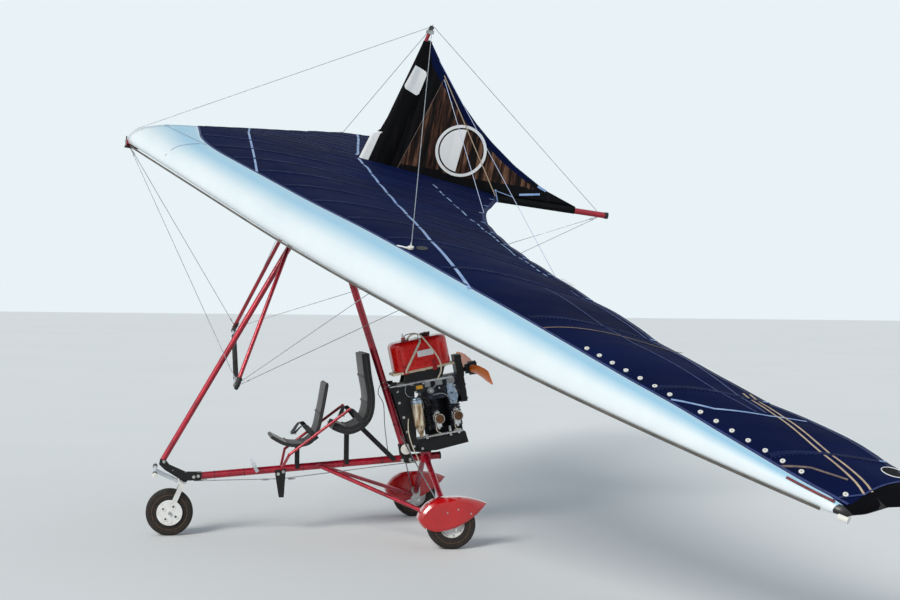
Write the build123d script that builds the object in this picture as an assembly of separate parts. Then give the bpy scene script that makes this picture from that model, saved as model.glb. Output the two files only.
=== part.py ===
from build123d import *
from math import atan2, copysign, cos, degrees, radians, sin, tan
import os

# A two-seat flex-wing microlight, in millimetres: X forward, Y to port, Z up.
# The origin is the hang bolt, where the wing hangs from the mast.
# Trike sizes below are stations: x ahead of the rear axle, y to port, z above the ground.

# Hang bolt
HANG_X = 782
HANG_Z = 2363
HANG_BOLT_R = 6
RUNNING_FIT = 0.05
SEAT_GAP = 0.3

# Wheels and axles
WHEEL_R = 158
TYRE_W = 92
RIM_R = 84
RIM_W = 60
AXLE_R = 10
TRACK = 1524
FRONT_AXLE_X = 1800
FRONT_TYRE_W = 88

# Frame tubes: outer radius and wall
BASE_TUBE_R = 25
MAST_R = 25
STRUT_R = 20
LEG_R = 20
DRAG_R = 14
TUBE_WALL = 2.5

# Main frame joints
REAR_END = (-60, 531)
BASE_FRONT = (1650, 396)
NOSE_JOINT = (1854, 496)
MAST_FOOT_X = 175
LEG_TOP_X = 50
DRAG_TOP_X = 791

# Engine unit
ENGINE_TILT = 10
PROP_HUB = (-214, 1131)
PROP_R = 600
BLADE_CHORD = 125
TANK_TILT = 12

# Wing, in its own frame: x ahead of the hang point along the keel, z above the keel axis
KEEL_OVER_BOLT = 119
WING_PITCH = 7.14
WING_BANK = 13.15
KEEL_R = 21
KEEL_NOSE = 1356
KEEL_TAIL = -2007
APEX_X = 62
APEX_DROP = 30
BAR_X = 427
BAR_DROP = 1380
BAR_HALF = 775
DOWNTUBE_R = 14
BASE_BAR_R = 14
KINGPOST_FOOT = (-290, 0)
KINGPOST_TOP = (-559, 1100)
KINGPOST_R = 13
HALF_SPAN = 4880
SAIL_T = 6
CROSS_Y = 2490


def st(x, y, z):
    """A trike station as a point of the model."""
    return Vector(x - HANG_X, y, z - HANG_Z)


def base_z(x):
    """Height of the base tube's axis at a station."""
    x0, z0 = REAR_END
    x1, z1 = BASE_FRONT
    return z0 + (z1 - z0) * (x - x0) / (x1 - x0)


def mast_x(z):
    """Station of the mast's axis at a height."""
    foot = base_z(MAST_FOOT_X)
    return MAST_FOOT_X + (HANG_X - MAST_FOOT_X) * (z - foot) / (HANG_Z - foot)


def rod(a, b, radius):
    """A round bar between two points."""
    a, b = Vector(*a), Vector(*b)
    return Solid.make_cylinder(radius, (b - a).length, Plane(origin=a, z_dir=b - a))


def tube(a, b, radius, wall=TUBE_WALL):
    """A round tube between two points."""
    return rod(a, b, radius) - rod(a, b, radius - wall)


def box(centre, size):
    """A block of a given size about its centre."""
    return Pos(*centre) * Box(*size)


def block(a, b, width, height):
    """A flat bar from a to b: width along Y, height square to both."""
    a, b = Vector(*a), Vector(*b)
    plane = Plane(origin=(a + b) / 2, x_dir=b - a, z_dir=(b - a).cross(Vector(0, 1, 0)))
    return plane * Box((b - a).length, width, height)


def plate(points, y0, y1):
    """A flat plate with an outline in x and z, from y0 to y1."""
    outline = Polyline(*[(x, y0, z) for x, z in points], close=True)
    return Solid.extrude(Face(Wire(outline.edges())), Vector(0, y1 - y0, 0))


def station_plate(points, y0, y1):
    """A plate whose outline is given in trike stations."""
    return plate([(x - HANG_X, z - HANG_Z) for x, z in points], y0, y1)


def wing_place(shape):
    """Moves a shape from the wing's own frame to where the wing hangs."""
    return Rot(0, -WING_PITCH, 0) * Pos(0, 0, KEEL_OVER_BOLT) * Rot(-WING_BANK, 0, 0) * shape


def joined(shapes):
    """One shape from several, fused where they touch."""
    body = None
    for shape in shapes:
        body = shape if body is None else body + shape
    return body


parts = {}


# Base tube with its end plugs
def base_tube():
    rear = st(REAR_END[0], 0, REAR_END[1])
    front = st(BASE_FRONT[0], 0, BASE_FRONT[1])
    return tube(rear, front, BASE_TUBE_R)


parts["base_tube"] = base_tube()

# Mast: one tube from the base tube up to the hang bolt
MAST_FOOT_GAP = BASE_TUBE_R + SEAT_GAP
MAST_TOP_Z = HANG_Z - 45
MAST_LEAN = degrees(atan2(HANG_X - MAST_FOOT_X, HANG_Z - base_z(MAST_FOOT_X)))


def mast():
    low = base_z(MAST_FOOT_X) + MAST_FOOT_GAP + MAST_R * tan(radians(MAST_LEAN))
    return tube(st(mast_x(low), 0, low), st(mast_x(MAST_TOP_Z), 0, MAST_TOP_Z), MAST_R)


parts["mast"] = mast()

# Front strut from the nose bracket to the mast top
STRUT_DIR = Vector(HANG_X - NOSE_JOINT[0], 0, HANG_Z - NOSE_JOINT[1]).normalized()


def front_strut():
    low = st(NOSE_JOINT[0], 0, NOSE_JOINT[1])
    return tube(low + STRUT_DIR * 12, st(HANG_X, 0, HANG_Z) - STRUT_DIR * 62, STRUT_R)


parts["front_strut"] = front_strut()

# Mast head: two plates that carry the hang bolt, the mast and the front strut
HEAD_PLATE_T = 5


def mast_head():
    outline = [(-62, -150), (-28, 18), (20, 24), (66, -62), (102, -118), (70, -138), (10, -80), (-20, -160)]
    port = plate(outline, MAST_R, MAST_R + HEAD_PLATE_T)
    starboard = plate(outline, -MAST_R - HEAD_PLATE_T, -MAST_R)
    reach = MAST_R + HEAD_PLATE_T
    bolt = rod((0, -reach - 8, 0), (0, reach + 8, 0), HANG_BOLT_R - RUNNING_FIT)
    return port + starboard + bolt


parts["mast_head"] = mast_head()


# Hang block: swings fore and aft on the hang bolt, and carries the keel in a ring
RING_HALF = 30
RING_R = KEEL_R + 11
BLOCK_HALF_Y = MAST_R - 1


def hang_block():
    tilt = Rot(0, -WING_PITCH, 0)
    ring = tilt * Pos(-RING_HALF, 0, KEEL_OVER_BOLT) * Rot(0, 90, 0) * Cylinder(
        RING_R, 2 * RING_HALF, align=(Align.CENTER, Align.CENTER, Align.MIN))
    web = tilt * Pos(0, 0, KEEL_OVER_BOLT / 2 - 10) * Box(2 * RING_HALF - 14, 2 * BLOCK_HALF_Y, KEEL_OVER_BOLT - 10)
    keel_bore = tilt * Pos(0, 0, KEEL_OVER_BOLT) * Rot(0, 90, 0) * Cylinder(KEEL_R + RUNNING_FIT, 200)
    bolt_bore = rod((0, -60, 0), (0, 60, 0), HANG_BOLT_R)
    return ring + web - keel_bore - bolt_bore


parts["hang_block"] = hang_block()


# Steering: head tube, fork, foot bar
STEER_LOW = (FRONT_AXLE_X - 22, WHEEL_R + 34)
STEER_TOP = (1716, 352)
STEER_DIR = Vector(STEER_TOP[0] - STEER_LOW[0], 0, STEER_TOP[1] - STEER_LOW[1]).normalized()
FORK_HALF = 58
CROWN_AT = (STEER_TOP[0], STEER_TOP[1])


def steer_point(along, y=0, fore=0):
    """A point on the steering axis, measured up from the crown, with offsets."""
    across = Vector(-STEER_DIR.Z, 0, STEER_DIR.X) * -1
    return st(CROWN_AT[0], y, CROWN_AT[1]) + STEER_DIR * along + across * fore


HEAD_LOW = 14
HEAD_HIGH = 62
HEAD_R = BASE_TUBE_R + 1
STEM_R = 12


# Nose bracket: plates that join the base tube's front end, the steering head and the front strut
NOSE_PLATE_T = 5
TIE_DOWN = (1780, 438)
TIE_DOWN_R = 5


def nose_bracket():
    x1, z1 = BASE_FRONT
    xn, zn = NOSE_JOINT
    outline = [(x1 - 60, z1 - 24), (x1 + 66, z1 - 26), (xn - 20, zn - 52), (xn + 18, zn - 14), (xn + 10, zn + 24),
               (xn - 26, zn + 12), (xn - 50, zn - 20), (x1 + 44, z1 + 30), (x1 - 64, z1 + 30)]
    outer = BASE_TUBE_R + NOSE_PLATE_T
    port = station_plate(outline, BASE_TUBE_R, outer)
    starboard = station_plate(outline, -outer, -BASE_TUBE_R)
    spacer = rod(st(xn - 4, -BASE_TUBE_R, zn - 8), st(xn - 4, BASE_TUBE_R, zn - 8), 9)
    hole = rod(st(TIE_DOWN[0], -2 * outer, TIE_DOWN[1]), st(TIE_DOWN[0], 2 * outer, TIE_DOWN[1]), TIE_DOWN_R)
    head = tube(steer_point(HEAD_LOW), steer_point(HEAD_HIGH), HEAD_R, HEAD_R - STEM_R)
    return port + starboard + spacer + head - hole


parts["nose_bracket"] = nose_bracket()


FORK_DISC_R = 86
FORK_HOLE_AT = 49


def fork():
    """Crown, two flat legs with round end plates, stem and axle."""
    crown = block(steer_point(0, 0, -24), steer_point(0, 0, 24), 2 * FORK_HALF + 10, 14)
    axle = st(FRONT_AXLE_X, 0, WHEEL_R)
    legs = None
    for side in (-1, 1):
        y = side * FORK_HALF
        top = steer_point(2, y)
        end = Vector(axle.X, y, axle.Z)
        leg = block(top, end, 6, 34) + rod((end.X, y - 3, end.Z), (end.X, y + 3, end.Z), FORK_DISC_R)
        for k in range(4):
            turn = radians(32 + 90 * k)
            x = end.X + FORK_HOLE_AT * cos(turn)
            z = end.Z + FORK_HOLE_AT * sin(turn)
            leg -= rod((x, y - 5, z), (x, y + 5, z), 8)
        legs = leg if legs is None else legs + leg
    stem = rod(steer_point(0), steer_point(HEAD_HIGH + 14), STEM_R - RUNNING_FIT)
    pin = rod((axle.X, -FORK_HALF - 12, axle.Z), (axle.X, FORK_HALF + 12, axle.Z), AXLE_R - RUNNING_FIT)
    return crown + legs + stem + pin


parts["front_fork"] = fork()

FOOT_BAR = (1899, 440)
FOOT_BAR_HALF = 290


def foot_bar():
    bar = rod(st(FOOT_BAR[0], -FOOT_BAR_HALF, FOOT_BAR[1]), st(FOOT_BAR[0], FOOT_BAR_HALF, FOOT_BAR[1]), 11)
    arms = None
    for y in (-44, 44):
        arm = block(steer_point(2, y, 34), st(FOOT_BAR[0], y, FOOT_BAR[1]), 6, 20)
        arms = arm if arms is None else arms + arm
    return bar + arms


parts["foot_bar"] = foot_bar()


# Wheels
def tyre(centre, width):
    """A tyre about the Y axis, open inside its rim."""
    half = width / 2
    shoulder = 22
    with BuildPart() as made:
        with BuildSketch(Plane.XY) as outline:
            with Locations(((WHEEL_R + RIM_R) / 2, 0)):
                Rectangle(WHEEL_R - RIM_R, 2 * half)
            fillet(outline.vertices().filter_by(lambda v: v.X > RIM_R + 10), shoulder)
        revolve(axis=Axis.Y)
    return Pos(*centre) * made.part


def hub(centre, width):
    """A disc wheel about the Y axis with four round holes and an axle bore."""
    x, y, z = centre.X, centre.Y, centre.Z
    body = rod((x, y - width / 2, z), (x, y + width / 2, z), RIM_R)
    dish = 16
    hollow = rod((x, y + dish, z), (x, y + width / 2 + 1, z), RIM_R - 6)
    hollow += rod((x, y - width / 2 - 1, z), (x, y - dish, z), RIM_R - 6)
    body -= hollow
    body += rod((x, y - width / 2, z), (x, y + width / 2, z), 24)
    body -= rod((x, y - width, z), (x, y + width, z), AXLE_R)
    for k in range(4):
        a = radians(45 + 90 * k)
        hx, hz = x + 52 * cos(a), z + 52 * sin(a)
        body -= rod((hx, y - width, hz), (hx, y + width, hz), 10)
    return body


FRONT_HUB = st(FRONT_AXLE_X, 0, WHEEL_R)
parts["front_tyre"] = tyre(FRONT_HUB, FRONT_TYRE_W)
parts["front_hub"] = hub(FRONT_HUB, RIM_W)
SIDES = {"port": 1, "starboard": -1}
for name, side in SIDES.items():
    centre = st(0, side * TRACK / 2, WHEEL_R)
    parts[name + "_tyre"] = tyre(centre, TYRE_W)
    parts[name + "_hub"] = hub(centre, RIM_W)

# Undercarriage: legs, drag struts and stub axles
AXLE_INNER_Y = TRACK / 2 - 88
LEG_END_Z = WHEEL_R + 14


def leg_foot(side):
    return st(0, side * (AXLE_INNER_Y - 10), LEG_END_Z + 26)


def leg_socket():
    """A block on the base tube's rear end that both legs run into."""
    centre = st(LEG_TOP_X, 0, base_z(LEG_TOP_X))
    rear = st(REAR_END[0], 0, REAR_END[1])
    front = st(BASE_FRONT[0], 0, BASE_FRONT[1])
    return box(centre, (72, 96, 74)) - rod(rear, front, BASE_TUBE_R + RUNNING_FIT)


parts["leg_socket"] = leg_socket()


def legs():
    """The two rear legs, cut flush on the socket."""
    socket = box(st(LEG_TOP_X, 0, base_z(LEG_TOP_X)), (200, 97, 200))
    pair = []
    for side in SIDES.values():
        top = st(LEG_TOP_X, side * 48, base_z(LEG_TOP_X))
        foot = leg_foot(side)
        way = (foot - top).normalized()
        leg = rod(top - way * 40, foot, LEG_R) - rod(top - way * 60, foot, LEG_R - TUBE_WALL)
        pair.append(leg - socket)
    return joined(pair)


parts["rear_legs"] = legs()


def stub_axles():
    pair = []
    for side in SIDES.values():
        axle_in = st(0, side * AXLE_INNER_Y, WHEEL_R)
        axle_out = st(0, side * (TRACK / 2 + RIM_W / 2 + 8), WHEEL_R)
        pin = rod(axle_in, axle_out, AXLE_R - RUNNING_FIT)
        lug = box(st(0, side * (AXLE_INNER_Y + 4), WHEEL_R + 22), (64, 8, 96))
        pair.append(pin + lug)
    return joined(pair)


parts["stub_axles"] = stub_axles()
DRAG_LUG_T = 8


def drag_struts():
    pair = []
    for side in SIDES.values():
        inner = BASE_TUBE_R + SEAT_GAP
        lug = box(st(DRAG_TOP_X, side * (inner + DRAG_LUG_T / 2), base_z(DRAG_TOP_X)), (40, DRAG_LUG_T, 32))
        top = st(DRAG_TOP_X - 14, side * (inner + DRAG_R), base_z(DRAG_TOP_X) - 4)
        end = st(34, side * (AXLE_INNER_Y - 10), WHEEL_R + 14)
        core = rod(top, end, DRAG_R) - box(st(DRAG_TOP_X, 0, base_z(DRAG_TOP_X)), (200, 2 * inner, 200))
        pair.append(core + lug)
    return joined(pair)


parts["drag_struts"] = drag_struts()

# Spats: hollow teardrops, open below, that cover the rear wheels
SPAT_HALF_W = 68
SPAT_WALL = 3
SPAT_NOSE_X = 225
SPAT_TAIL = (-232, 298)


def spat_wire(inset, y):
    """The teardrop's side view in x and z about the wheel's foot, at one place across its width."""
    nose = (SPAT_NOSE_X - inset, y, 205)
    crest = (30, y, 338 - inset)
    tail = (SPAT_TAIL[0] + 2 * inset, y, SPAT_TAIL[1] - inset)
    belly = (60, y, 112 + inset)
    arcs = [
        Edge.make_three_point_arc(nose, (158 - 0.7 * inset, y, 300 - 0.7 * inset), crest),
        Edge.make_three_point_arc(crest, (-120, y, 332 - inset), tail),
        Edge.make_three_point_arc(tail, (-100, y, 172 + inset), belly),
        Edge.make_three_point_arc(belly, (176 - 0.7 * inset, y, 134 + 0.7 * inset), nose),
    ]
    return Wire(arcs)


def spat_solid(shrink):
    """The whole teardrop, rounded across its width by sections that grow towards the middle."""
    half = SPAT_HALF_W - shrink
    table = [  # share of the half width, inset of the outline
        (-1.0, 30),
        (-0.86, 12),
        (-0.55, 2),
        (0.0, 0),
        (0.55, 2),
        (0.86, 12),
        (1.0, 30),
    ]
    wires = [spat_wire(inset + shrink, share * half) for share, inset in table]
    return Solid.make_loft(wires, ruled=True)


def spat(side):
    mouth = box((-22, 0, 70), (2 * WHEEL_R + 70, TYRE_W + 20, 300))
    slot = box((0, -side * SPAT_HALF_W, WHEEL_R - 40), (70, 40, 190))
    body = spat_solid(0) - spat_solid(SPAT_WALL) - mouth - slot
    return Pos(-HANG_X, side * TRACK / 2, -HANG_Z) * body


parts["spats"] = joined([spat(side) for side in SIDES.values()])

# Engine: in-line twin hung crankshaft up, with its intake on the port side
def engine_at(fore, y, up):
    """A point in the engine's tilted frame, measured from the propeller hub along its shaft."""
    a = radians(ENGINE_TILT)
    x = PROP_HUB[0] + fore * cos(a) + up * sin(a)
    z = PROP_HUB[1] - fore * sin(a) + up * cos(a)
    return st(x, y, z)


def engine_box(fore, y, up, size):
    """A block in the engine's tilted frame, about its centre."""
    centre = engine_at(fore, y, up)
    return Pos(*centre) * Rot(0, ENGINE_TILT, 0) * Box(*size)


CYLINDER_FORE = (117, 248)
CYLINDER_R = 44
FIN_R = 57
FIN_COUNT = 9
RAIL_Y = 88
RAIL_R = 11
RAIL_UP = -29
RAIL_REAR = 100
CASE_HALF = RAIL_Y - RAIL_R - SEAT_GAP
CASE_FORE = (58.3, 332)
CASE_UP = (-165, -15)
HEAD_UP = -345
STUB_UP = -403
INTAKE_UP = -294
INTAKE_FACE = FIN_R + 6
CARB_END = 128

# Cross bar of the engine rails, laid against the back of the mast
TIE_R = 9


def tie_fore():
    """How far ahead of the propeller hub the cross bar meets the mast."""
    lean = radians(MAST_LEAN)
    start = engine_at(0, 0, RAIL_UP)
    way = engine_at(1, 0, RAIL_UP) - start
    across = Vector(cos(lean), 0, -sin(lean))
    mast_point = st(MAST_FOOT_X, 0, base_z(MAST_FOOT_X))
    gap = (mast_point - start).dot(across) - MAST_R - TIE_R - SEAT_GAP
    return gap / way.dot(across)


TIE_FORE = tie_fore()


def engine_block():
    length = CASE_FORE[1] - CASE_FORE[0]
    height = CASE_UP[1] - CASE_UP[0]
    body = engine_box(sum(CASE_FORE) / 2, 0, sum(CASE_UP) / 2, (length, 2 * CASE_HALF, height))
    for fore in CYLINDER_FORE:
        body += rod(engine_at(fore, 0, CASE_UP[0] + 20), engine_at(fore, 0, HEAD_UP), CYLINDER_R)
        for k in range(FIN_COUNT):
            up = CASE_UP[0] - 12 - k * 18.5
            body += rod(engine_at(fore, 0, up), engine_at(fore, 0, up - 6), FIN_R)
        body += rod(engine_at(fore, 0, INTAKE_UP), engine_at(fore, INTAKE_FACE, INTAKE_UP), 22)
    return body


parts["engine_block"] = engine_block()


def cylinder_heads():
    body = None
    for fore in CYLINDER_FORE:
        flange = HEAD_UP - 30
        head = rod(engine_at(fore, 0, HEAD_UP - SEAT_GAP), engine_at(fore, 0, flange), FIN_R - 3)
        head += rod(engine_at(fore, 0, flange), engine_at(fore, 0, STUB_UP), 14)
        body = head if body is None else body + head
    return body


parts["cylinder_heads"] = cylinder_heads()


def engine_rails():
    """Two rails that carry the crankcase, tied by a cross bar behind the mast."""
    front = TIE_FORE + TIE_R + 6
    pieces = []
    for y in (-RAIL_Y, RAIL_Y):
        pieces.append(rod(engine_at(RAIL_REAR, y, RAIL_UP), engine_at(front, y, RAIL_UP), RAIL_R))
    pieces.append(rod(engine_at(TIE_FORE, -RAIL_Y, RAIL_UP), engine_at(TIE_FORE, RAIL_Y, RAIL_UP), TIE_R))
    return joined(pieces)


parts["engine_rails"] = engine_rails()

MOUNT_REAR_X = (118, 146)
MOUNT_FRONT_GAP = 4
MOUNT_FOOT_Z = base_z(LEG_TOP_X) + 37 + 6
MOUNT_PLATE_T = 6


def rail_under_z(x):
    """Height of the rails' underside at a station."""
    fore = (x - PROP_HUB[0] - RAIL_UP * sin(radians(ENGINE_TILT))) / cos(radians(ENGINE_TILT))
    return engine_at(fore, 0, RAIL_UP - RAIL_R).Z + HANG_Z


def engine_mount():
    """The black plates between the rails and the socket on the base tube, beside the mast."""
    x0, x1 = MOUNT_REAR_X
    front_low = mast_x(MOUNT_FOOT_Z) - MAST_R - MOUNT_FRONT_GAP
    front_top = mast_x(rail_under_z(290)) - MAST_R - MOUNT_FRONT_GAP
    outline = [(x0, MOUNT_FOOT_Z), (front_low, MOUNT_FOOT_Z), (front_top, rail_under_z(front_top) - 2),
               (x1, rail_under_z(x1) - 2)]
    half = MOUNT_PLATE_T / 2
    pieces = [station_plate(outline, y - half, y + half) for y in (-RAIL_Y, RAIL_Y)]
    foot_front = front_low - 12
    foot = [(LEG_TOP_X - 30, MOUNT_FOOT_Z - 3), (foot_front, MOUNT_FOOT_Z - 3), (foot_front, MOUNT_FOOT_Z + 5),
            (LEG_TOP_X - 30, MOUNT_FOOT_Z + 5)]
    pieces.append(station_plate(foot, -RAIL_Y - half, RAIL_Y + half))
    return joined(pieces)


parts["engine_mount"] = engine_mount()


def carburettors():
    pieces = []
    for fore in CYLINDER_FORE:
        pieces.append(rod(engine_at(fore, INTAKE_FACE + SEAT_GAP, INTAKE_UP), engine_at(fore, CARB_END, INTAKE_UP), 19))
        pieces.append(rod(engine_at(fore, 104, INTAKE_UP), engine_at(fore, 104, INTAKE_UP - 62), 23))
    return joined(pieces)


parts["carburettors"] = carburettors()


def air_filters():
    start = CARB_END + SEAT_GAP
    return joined([rod(engine_at(fore, start, INTAKE_UP), engine_at(fore, start + 66, INTAKE_UP), 31)
                   for fore in CYLINDER_FORE])


parts["air_filters"] = air_filters()


CAN_R = 38
CAN_FORE = 382
CAN_UP = (-142, -318, -380)
CAN_Y = RAIL_Y + MOUNT_PLATE_T / 2 + SEAT_GAP + CAN_R


def exhaust_can():
    """The tapered can that hangs beside the port mounting plate."""
    top, neck, foot = (engine_at(CAN_FORE, CAN_Y, up) for up in CAN_UP)
    taper = Solid.make_cone(CAN_R, 15, (foot - neck).length, Plane(origin=neck, z_dir=foot - neck))
    return rod(top, neck, CAN_R) + taper


parts["exhaust_can"] = exhaust_can()


def silencer():
    """The black box under the engine, higher at its rear, that rests on the mount's foot."""
    rest = MOUNT_FOOT_Z + 5 + SEAT_GAP
    outline = [(110, 648), (-222, 705), (-246, 630), (-19, rest + 2), (20, rest), (110, rest)]
    return station_plate(outline, -74, RAIL_Y - 8)


parts["silencer"] = silencer()


SHAFT_R = 15


def reduction_drive():
    """The upright black case between the crankcase and the propeller, with its output shaft."""
    case = engine_box(36, 0, -52, (44, 128, 330))
    boss = rod(engine_at(4, 0, 0), engine_at(20, 0, 0), 52)
    shaft = rod(engine_at(-40, 0, 0), engine_at(10, 0, 0), SHAFT_R - RUNNING_FIT)
    return case + boss + shaft


parts["reduction_drive"] = reduction_drive()


# Propeller: two blades on a round hub
PROP_AXIS = (engine_at(-1, 0, 0) - engine_at(0, 0, 0)).normalized()
PROP_UP = (engine_at(0, 0, 1) - engine_at(0, 0, 0)).normalized()
BLADE_FALL = 4
PROP_FACE = -42
PROP_BACK = -94
PROP_BOSS_R = 48
PROP_SPAN_DIR = Vector(0, cos(radians(BLADE_FALL)), 0) - PROP_UP * sin(radians(BLADE_FALL))


def blade(side):
    """A twisted blade lofted from flat-bottomed sections, root to tip."""
    table = [  # distance from the shaft, chord, thickness, pitch angle
        (46, 66, 30, 38),
        (150, 98, 20, 30),
        (330, BLADE_CHORD, 13, 20),
        (500, 118, 9, 15),
        (PROP_R - 14, 100, 7, 12),
        (PROP_R, 86, 6, 12),
    ]
    wires = []
    for radius, chord, thick, pitch in table:
        plane = Plane(origin=(0, 0, radius), x_dir=(cos(radians(pitch)), sin(radians(pitch)), 0), z_dir=(0, 0, 1))
        a, b = (-chord / 2, 0), (chord / 2, 0)
        arc = Edge.make_three_point_arc(plane.from_local_coords((*a, 0)), plane.from_local_coords((0, thick, 0)),
                                        plane.from_local_coords((*b, 0)))
        flat = Edge.make_line(plane.from_local_coords((*b, 0)), plane.from_local_coords((*a, 0)))
        wires.append(Wire([arc, flat]))
    one = Solid.make_loft(wires, ruled=True)
    hub_plane = Plane(origin=engine_at((PROP_FACE + PROP_BACK) / 2, 0, 0), x_dir=PROP_SPAN_DIR.cross(PROP_AXIS), z_dir=PROP_SPAN_DIR * side)
    return hub_plane.location * one


def propeller_hub():
    """The clamping boss of the blades, with a collar on the output shaft."""
    body = rod(engine_at(PROP_FACE, 0, 0), engine_at(PROP_BACK, 0, 0), PROP_BOSS_R)
    body += rod(engine_at(-15, 0, 0), engine_at(PROP_FACE, 0, 0), 34)
    body -= rod(engine_at(20, 0, 0), engine_at(PROP_FACE + 1, 0, 0), SHAFT_R)
    return body


parts["propeller_hub"] = propeller_hub()
hub_space = rod(engine_at(PROP_FACE + 30, 0, 0), engine_at(PROP_BACK - 30, 0, 0), PROP_BOSS_R)
parts["propeller_blades"] = joined([blade(side) - hub_space for side in SIDES.values()])

# Fuel tank on its shelf above the engine
TANK_SIZE = (400, 270, 205)
TANK_CENTRE = (104, 0, 1245)


def fuel_tank():
    body = Box(*TANK_SIZE)
    body = fillet(body.edges().filter_by(Axis.Z), 84)
    body = fillet(body.faces().sort_by(Axis.Z)[-1].edges(), 34)
    body = fillet(body.faces().sort_by(Axis.Z)[0].edges(), 18)
    cap = Pos(-70, 0, TANK_SIZE[2] / 2 - 2) * Cylinder(30, 30, align=(Align.CENTER, Align.CENTER, Align.MIN))
    neck = Pos(92, 40, TANK_SIZE[2] / 2 - 2) * Cylinder(16, 26, align=(Align.CENTER, Align.CENTER, Align.MIN))
    whole = body + cap + neck
    return Pos(*st(*TANK_CENTRE)) * Rot(0, TANK_TILT, 0) * whole


parts["fuel_tank"] = fuel_tank()


SHELF_T = 16
SHELF_OVERHANG = 17


def tank_point(along, y, up):
    """A point in the tank's tilted frame, from its centre."""
    turned = Vector(along, 0, up).rotate(Axis.Y, TANK_TILT)
    return st(TANK_CENTRE[0], y, TANK_CENTRE[2]) + turned


def tank_shelf():
    drop = TANK_SIZE[2] / 2 + SEAT_GAP + SHELF_T / 2
    size = (TANK_SIZE[0] + 2 * SHELF_OVERHANG, TANK_SIZE[1] - 50, SHELF_T)
    return Pos(*tank_point(0, 0, -drop)) * Rot(0, TANK_TILT, 0) * Box(*size)


parts["tank_shelf"] = tank_shelf()


def tank_stand():
    """Two black beams between the engine rails and the shelf, tied across under the shelf."""
    under = -TANK_SIZE[2] / 2 - SHELF_T - 2 * SEAT_GAP
    rear, front = tank_point(-150, 0, under), tank_point(130, 0, under)
    tie = tank_point(0, 0, under - 8)
    foot = RAIL_UP + RAIL_R + SEAT_GAP
    outline = [(rear.X, rear.Z), (front.X, front.Z), (engine_at(446, 0, foot).X, engine_at(446, 0, foot).Z),
               (engine_at(168, 0, foot).X, engine_at(168, 0, foot).Z)]
    pieces = [plate(outline, y - 5, y + 5) for y in (-RAIL_Y, RAIL_Y)]
    pieces.append(rod((tie.X, -RAIL_Y, tie.Z), (tie.X, RAIL_Y, tie.Z), 6))
    return joined(pieces)


parts["tank_stand"] = tank_stand()

# Seats: two black slings, the passenger's behind and above the pilot's
def seat(points, half, thick):
    """A sling seat: a bent strip through points in x and z, of a given half width."""
    upper = [Vector(x, 0, z) for x, z in points]
    lower = []
    for k, p in enumerate(upper):
        before = upper[max(k - 1, 0)]
        after = upper[min(k + 1, len(upper) - 1)]
        way = (after - before).normalized()
        lower.append(p + Vector(-way.Z, 0, way.X) * -thick)
    outline = [(p.X, p.Z) for p in upper] + [(p.X, p.Z) for p in reversed(lower)]
    return station_plate(outline, -half, half)


PILOT_SEAT_T = 34
PASSENGER_SEAT_T = 64
PILOT_PAN_Z = 640
PASSENGER_PAN_Z = 750
PILOT_SEAT = [(770, 1040), (800, 860), (838, 700), (900, PILOT_PAN_Z), (1020, PILOT_PAN_Z), (1120, 690)]
PASSENGER_SEAT = [(528, 1240), (508, 1085), (484, 930), (507, 810), (600, PASSENGER_PAN_Z), (700, 780)]
parts["pilot_seat"] = seat(PILOT_SEAT, 175, PILOT_SEAT_T)
parts["passenger_seat"] = seat(PASSENGER_SEAT, 185, PASSENGER_SEAT_T)


SEAT_STEEL_T = 8
PILOT_RISER_X = 940
PASSENGER_RISER_X = 600
STAY_FOOT_X = 266
STAY_TOP = (496, 722)


def seat_frame():
    """Black risers on both sides of the base tube that carry the seats, and a stay behind them."""
    pieces = []
    for side in SIDES.values():
        y = side * (BASE_TUBE_R + SEAT_GAP + SEAT_STEEL_T / 2)
        pilot_under = PILOT_PAN_Z - PILOT_SEAT_T - SEAT_GAP
        passenger_under = PASSENGER_PAN_Z - PASSENGER_SEAT_T - 3
        for x, top in ((PILOT_RISER_X, pilot_under), (PASSENGER_RISER_X, passenger_under)):
            pieces.append(block(st(x, y, base_z(x) - 6), st(x, y, top), SEAT_STEEL_T, 28))
        stay_foot = st(STAY_FOOT_X, y, base_z(STAY_FOOT_X) - 4)
        pieces.append(block(stay_foot, st(STAY_TOP[0], y, STAY_TOP[1]), SEAT_STEEL_T, 32))
    return joined(pieces)


parts["seat_frame"] = seat_frame()


def side_rails():
    """The red tubes beside the passenger's seat, from the base tube up."""
    body = None
    for y in (-206, 206):
        rail = rod(st(1010, y, 560), st(600, y, 870), 10)
        inner = copysign(BASE_TUBE_R + 10 + SEAT_GAP, y)
        foot = rod(st(1010, y, 560), st(1050, inner, base_z(1050)), 10)
        one = rail + foot
        body = one if body is None else body + one
    return body


parts["side_rails"] = side_rails()


def passenger_footrests():
    body = rod(st(1240, -215, 484), st(1240, 215, 484), 10)
    for side in SIDES.values():
        y = side * (BASE_TUBE_R + SEAT_GAP + 3)
        body += block(st(1240, y, 484), st(1210, y, base_z(1210) - 6), 6, 24)
    return body


parts["passenger_footrests"] = passenger_footrests()


SKID_X = 1046
SKID_FOOT_Z = 250


def skid_post():
    """The tapered post that hangs below the base tube."""
    top = base_z(SKID_X)
    outline = [(SKID_X + 46, top - 6), (SKID_X - 28, top), (SKID_X - 16, SKID_FOOT_Z), (SKID_X + 16, SKID_FOOT_Z)]
    port = station_plate(outline, BASE_TUBE_R, BASE_TUBE_R + 5)
    starboard = station_plate(outline, -BASE_TUBE_R - 5, -BASE_TUBE_R)
    cross = [(SKID_X + 20, SKID_FOOT_Z + 40), (SKID_X - 20, SKID_FOOT_Z + 40), (SKID_X - 16, SKID_FOOT_Z),
             (SKID_X + 16, SKID_FOOT_Z)]
    return port + starboard + station_plate(cross, -BASE_TUBE_R, BASE_TUBE_R)


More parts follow.
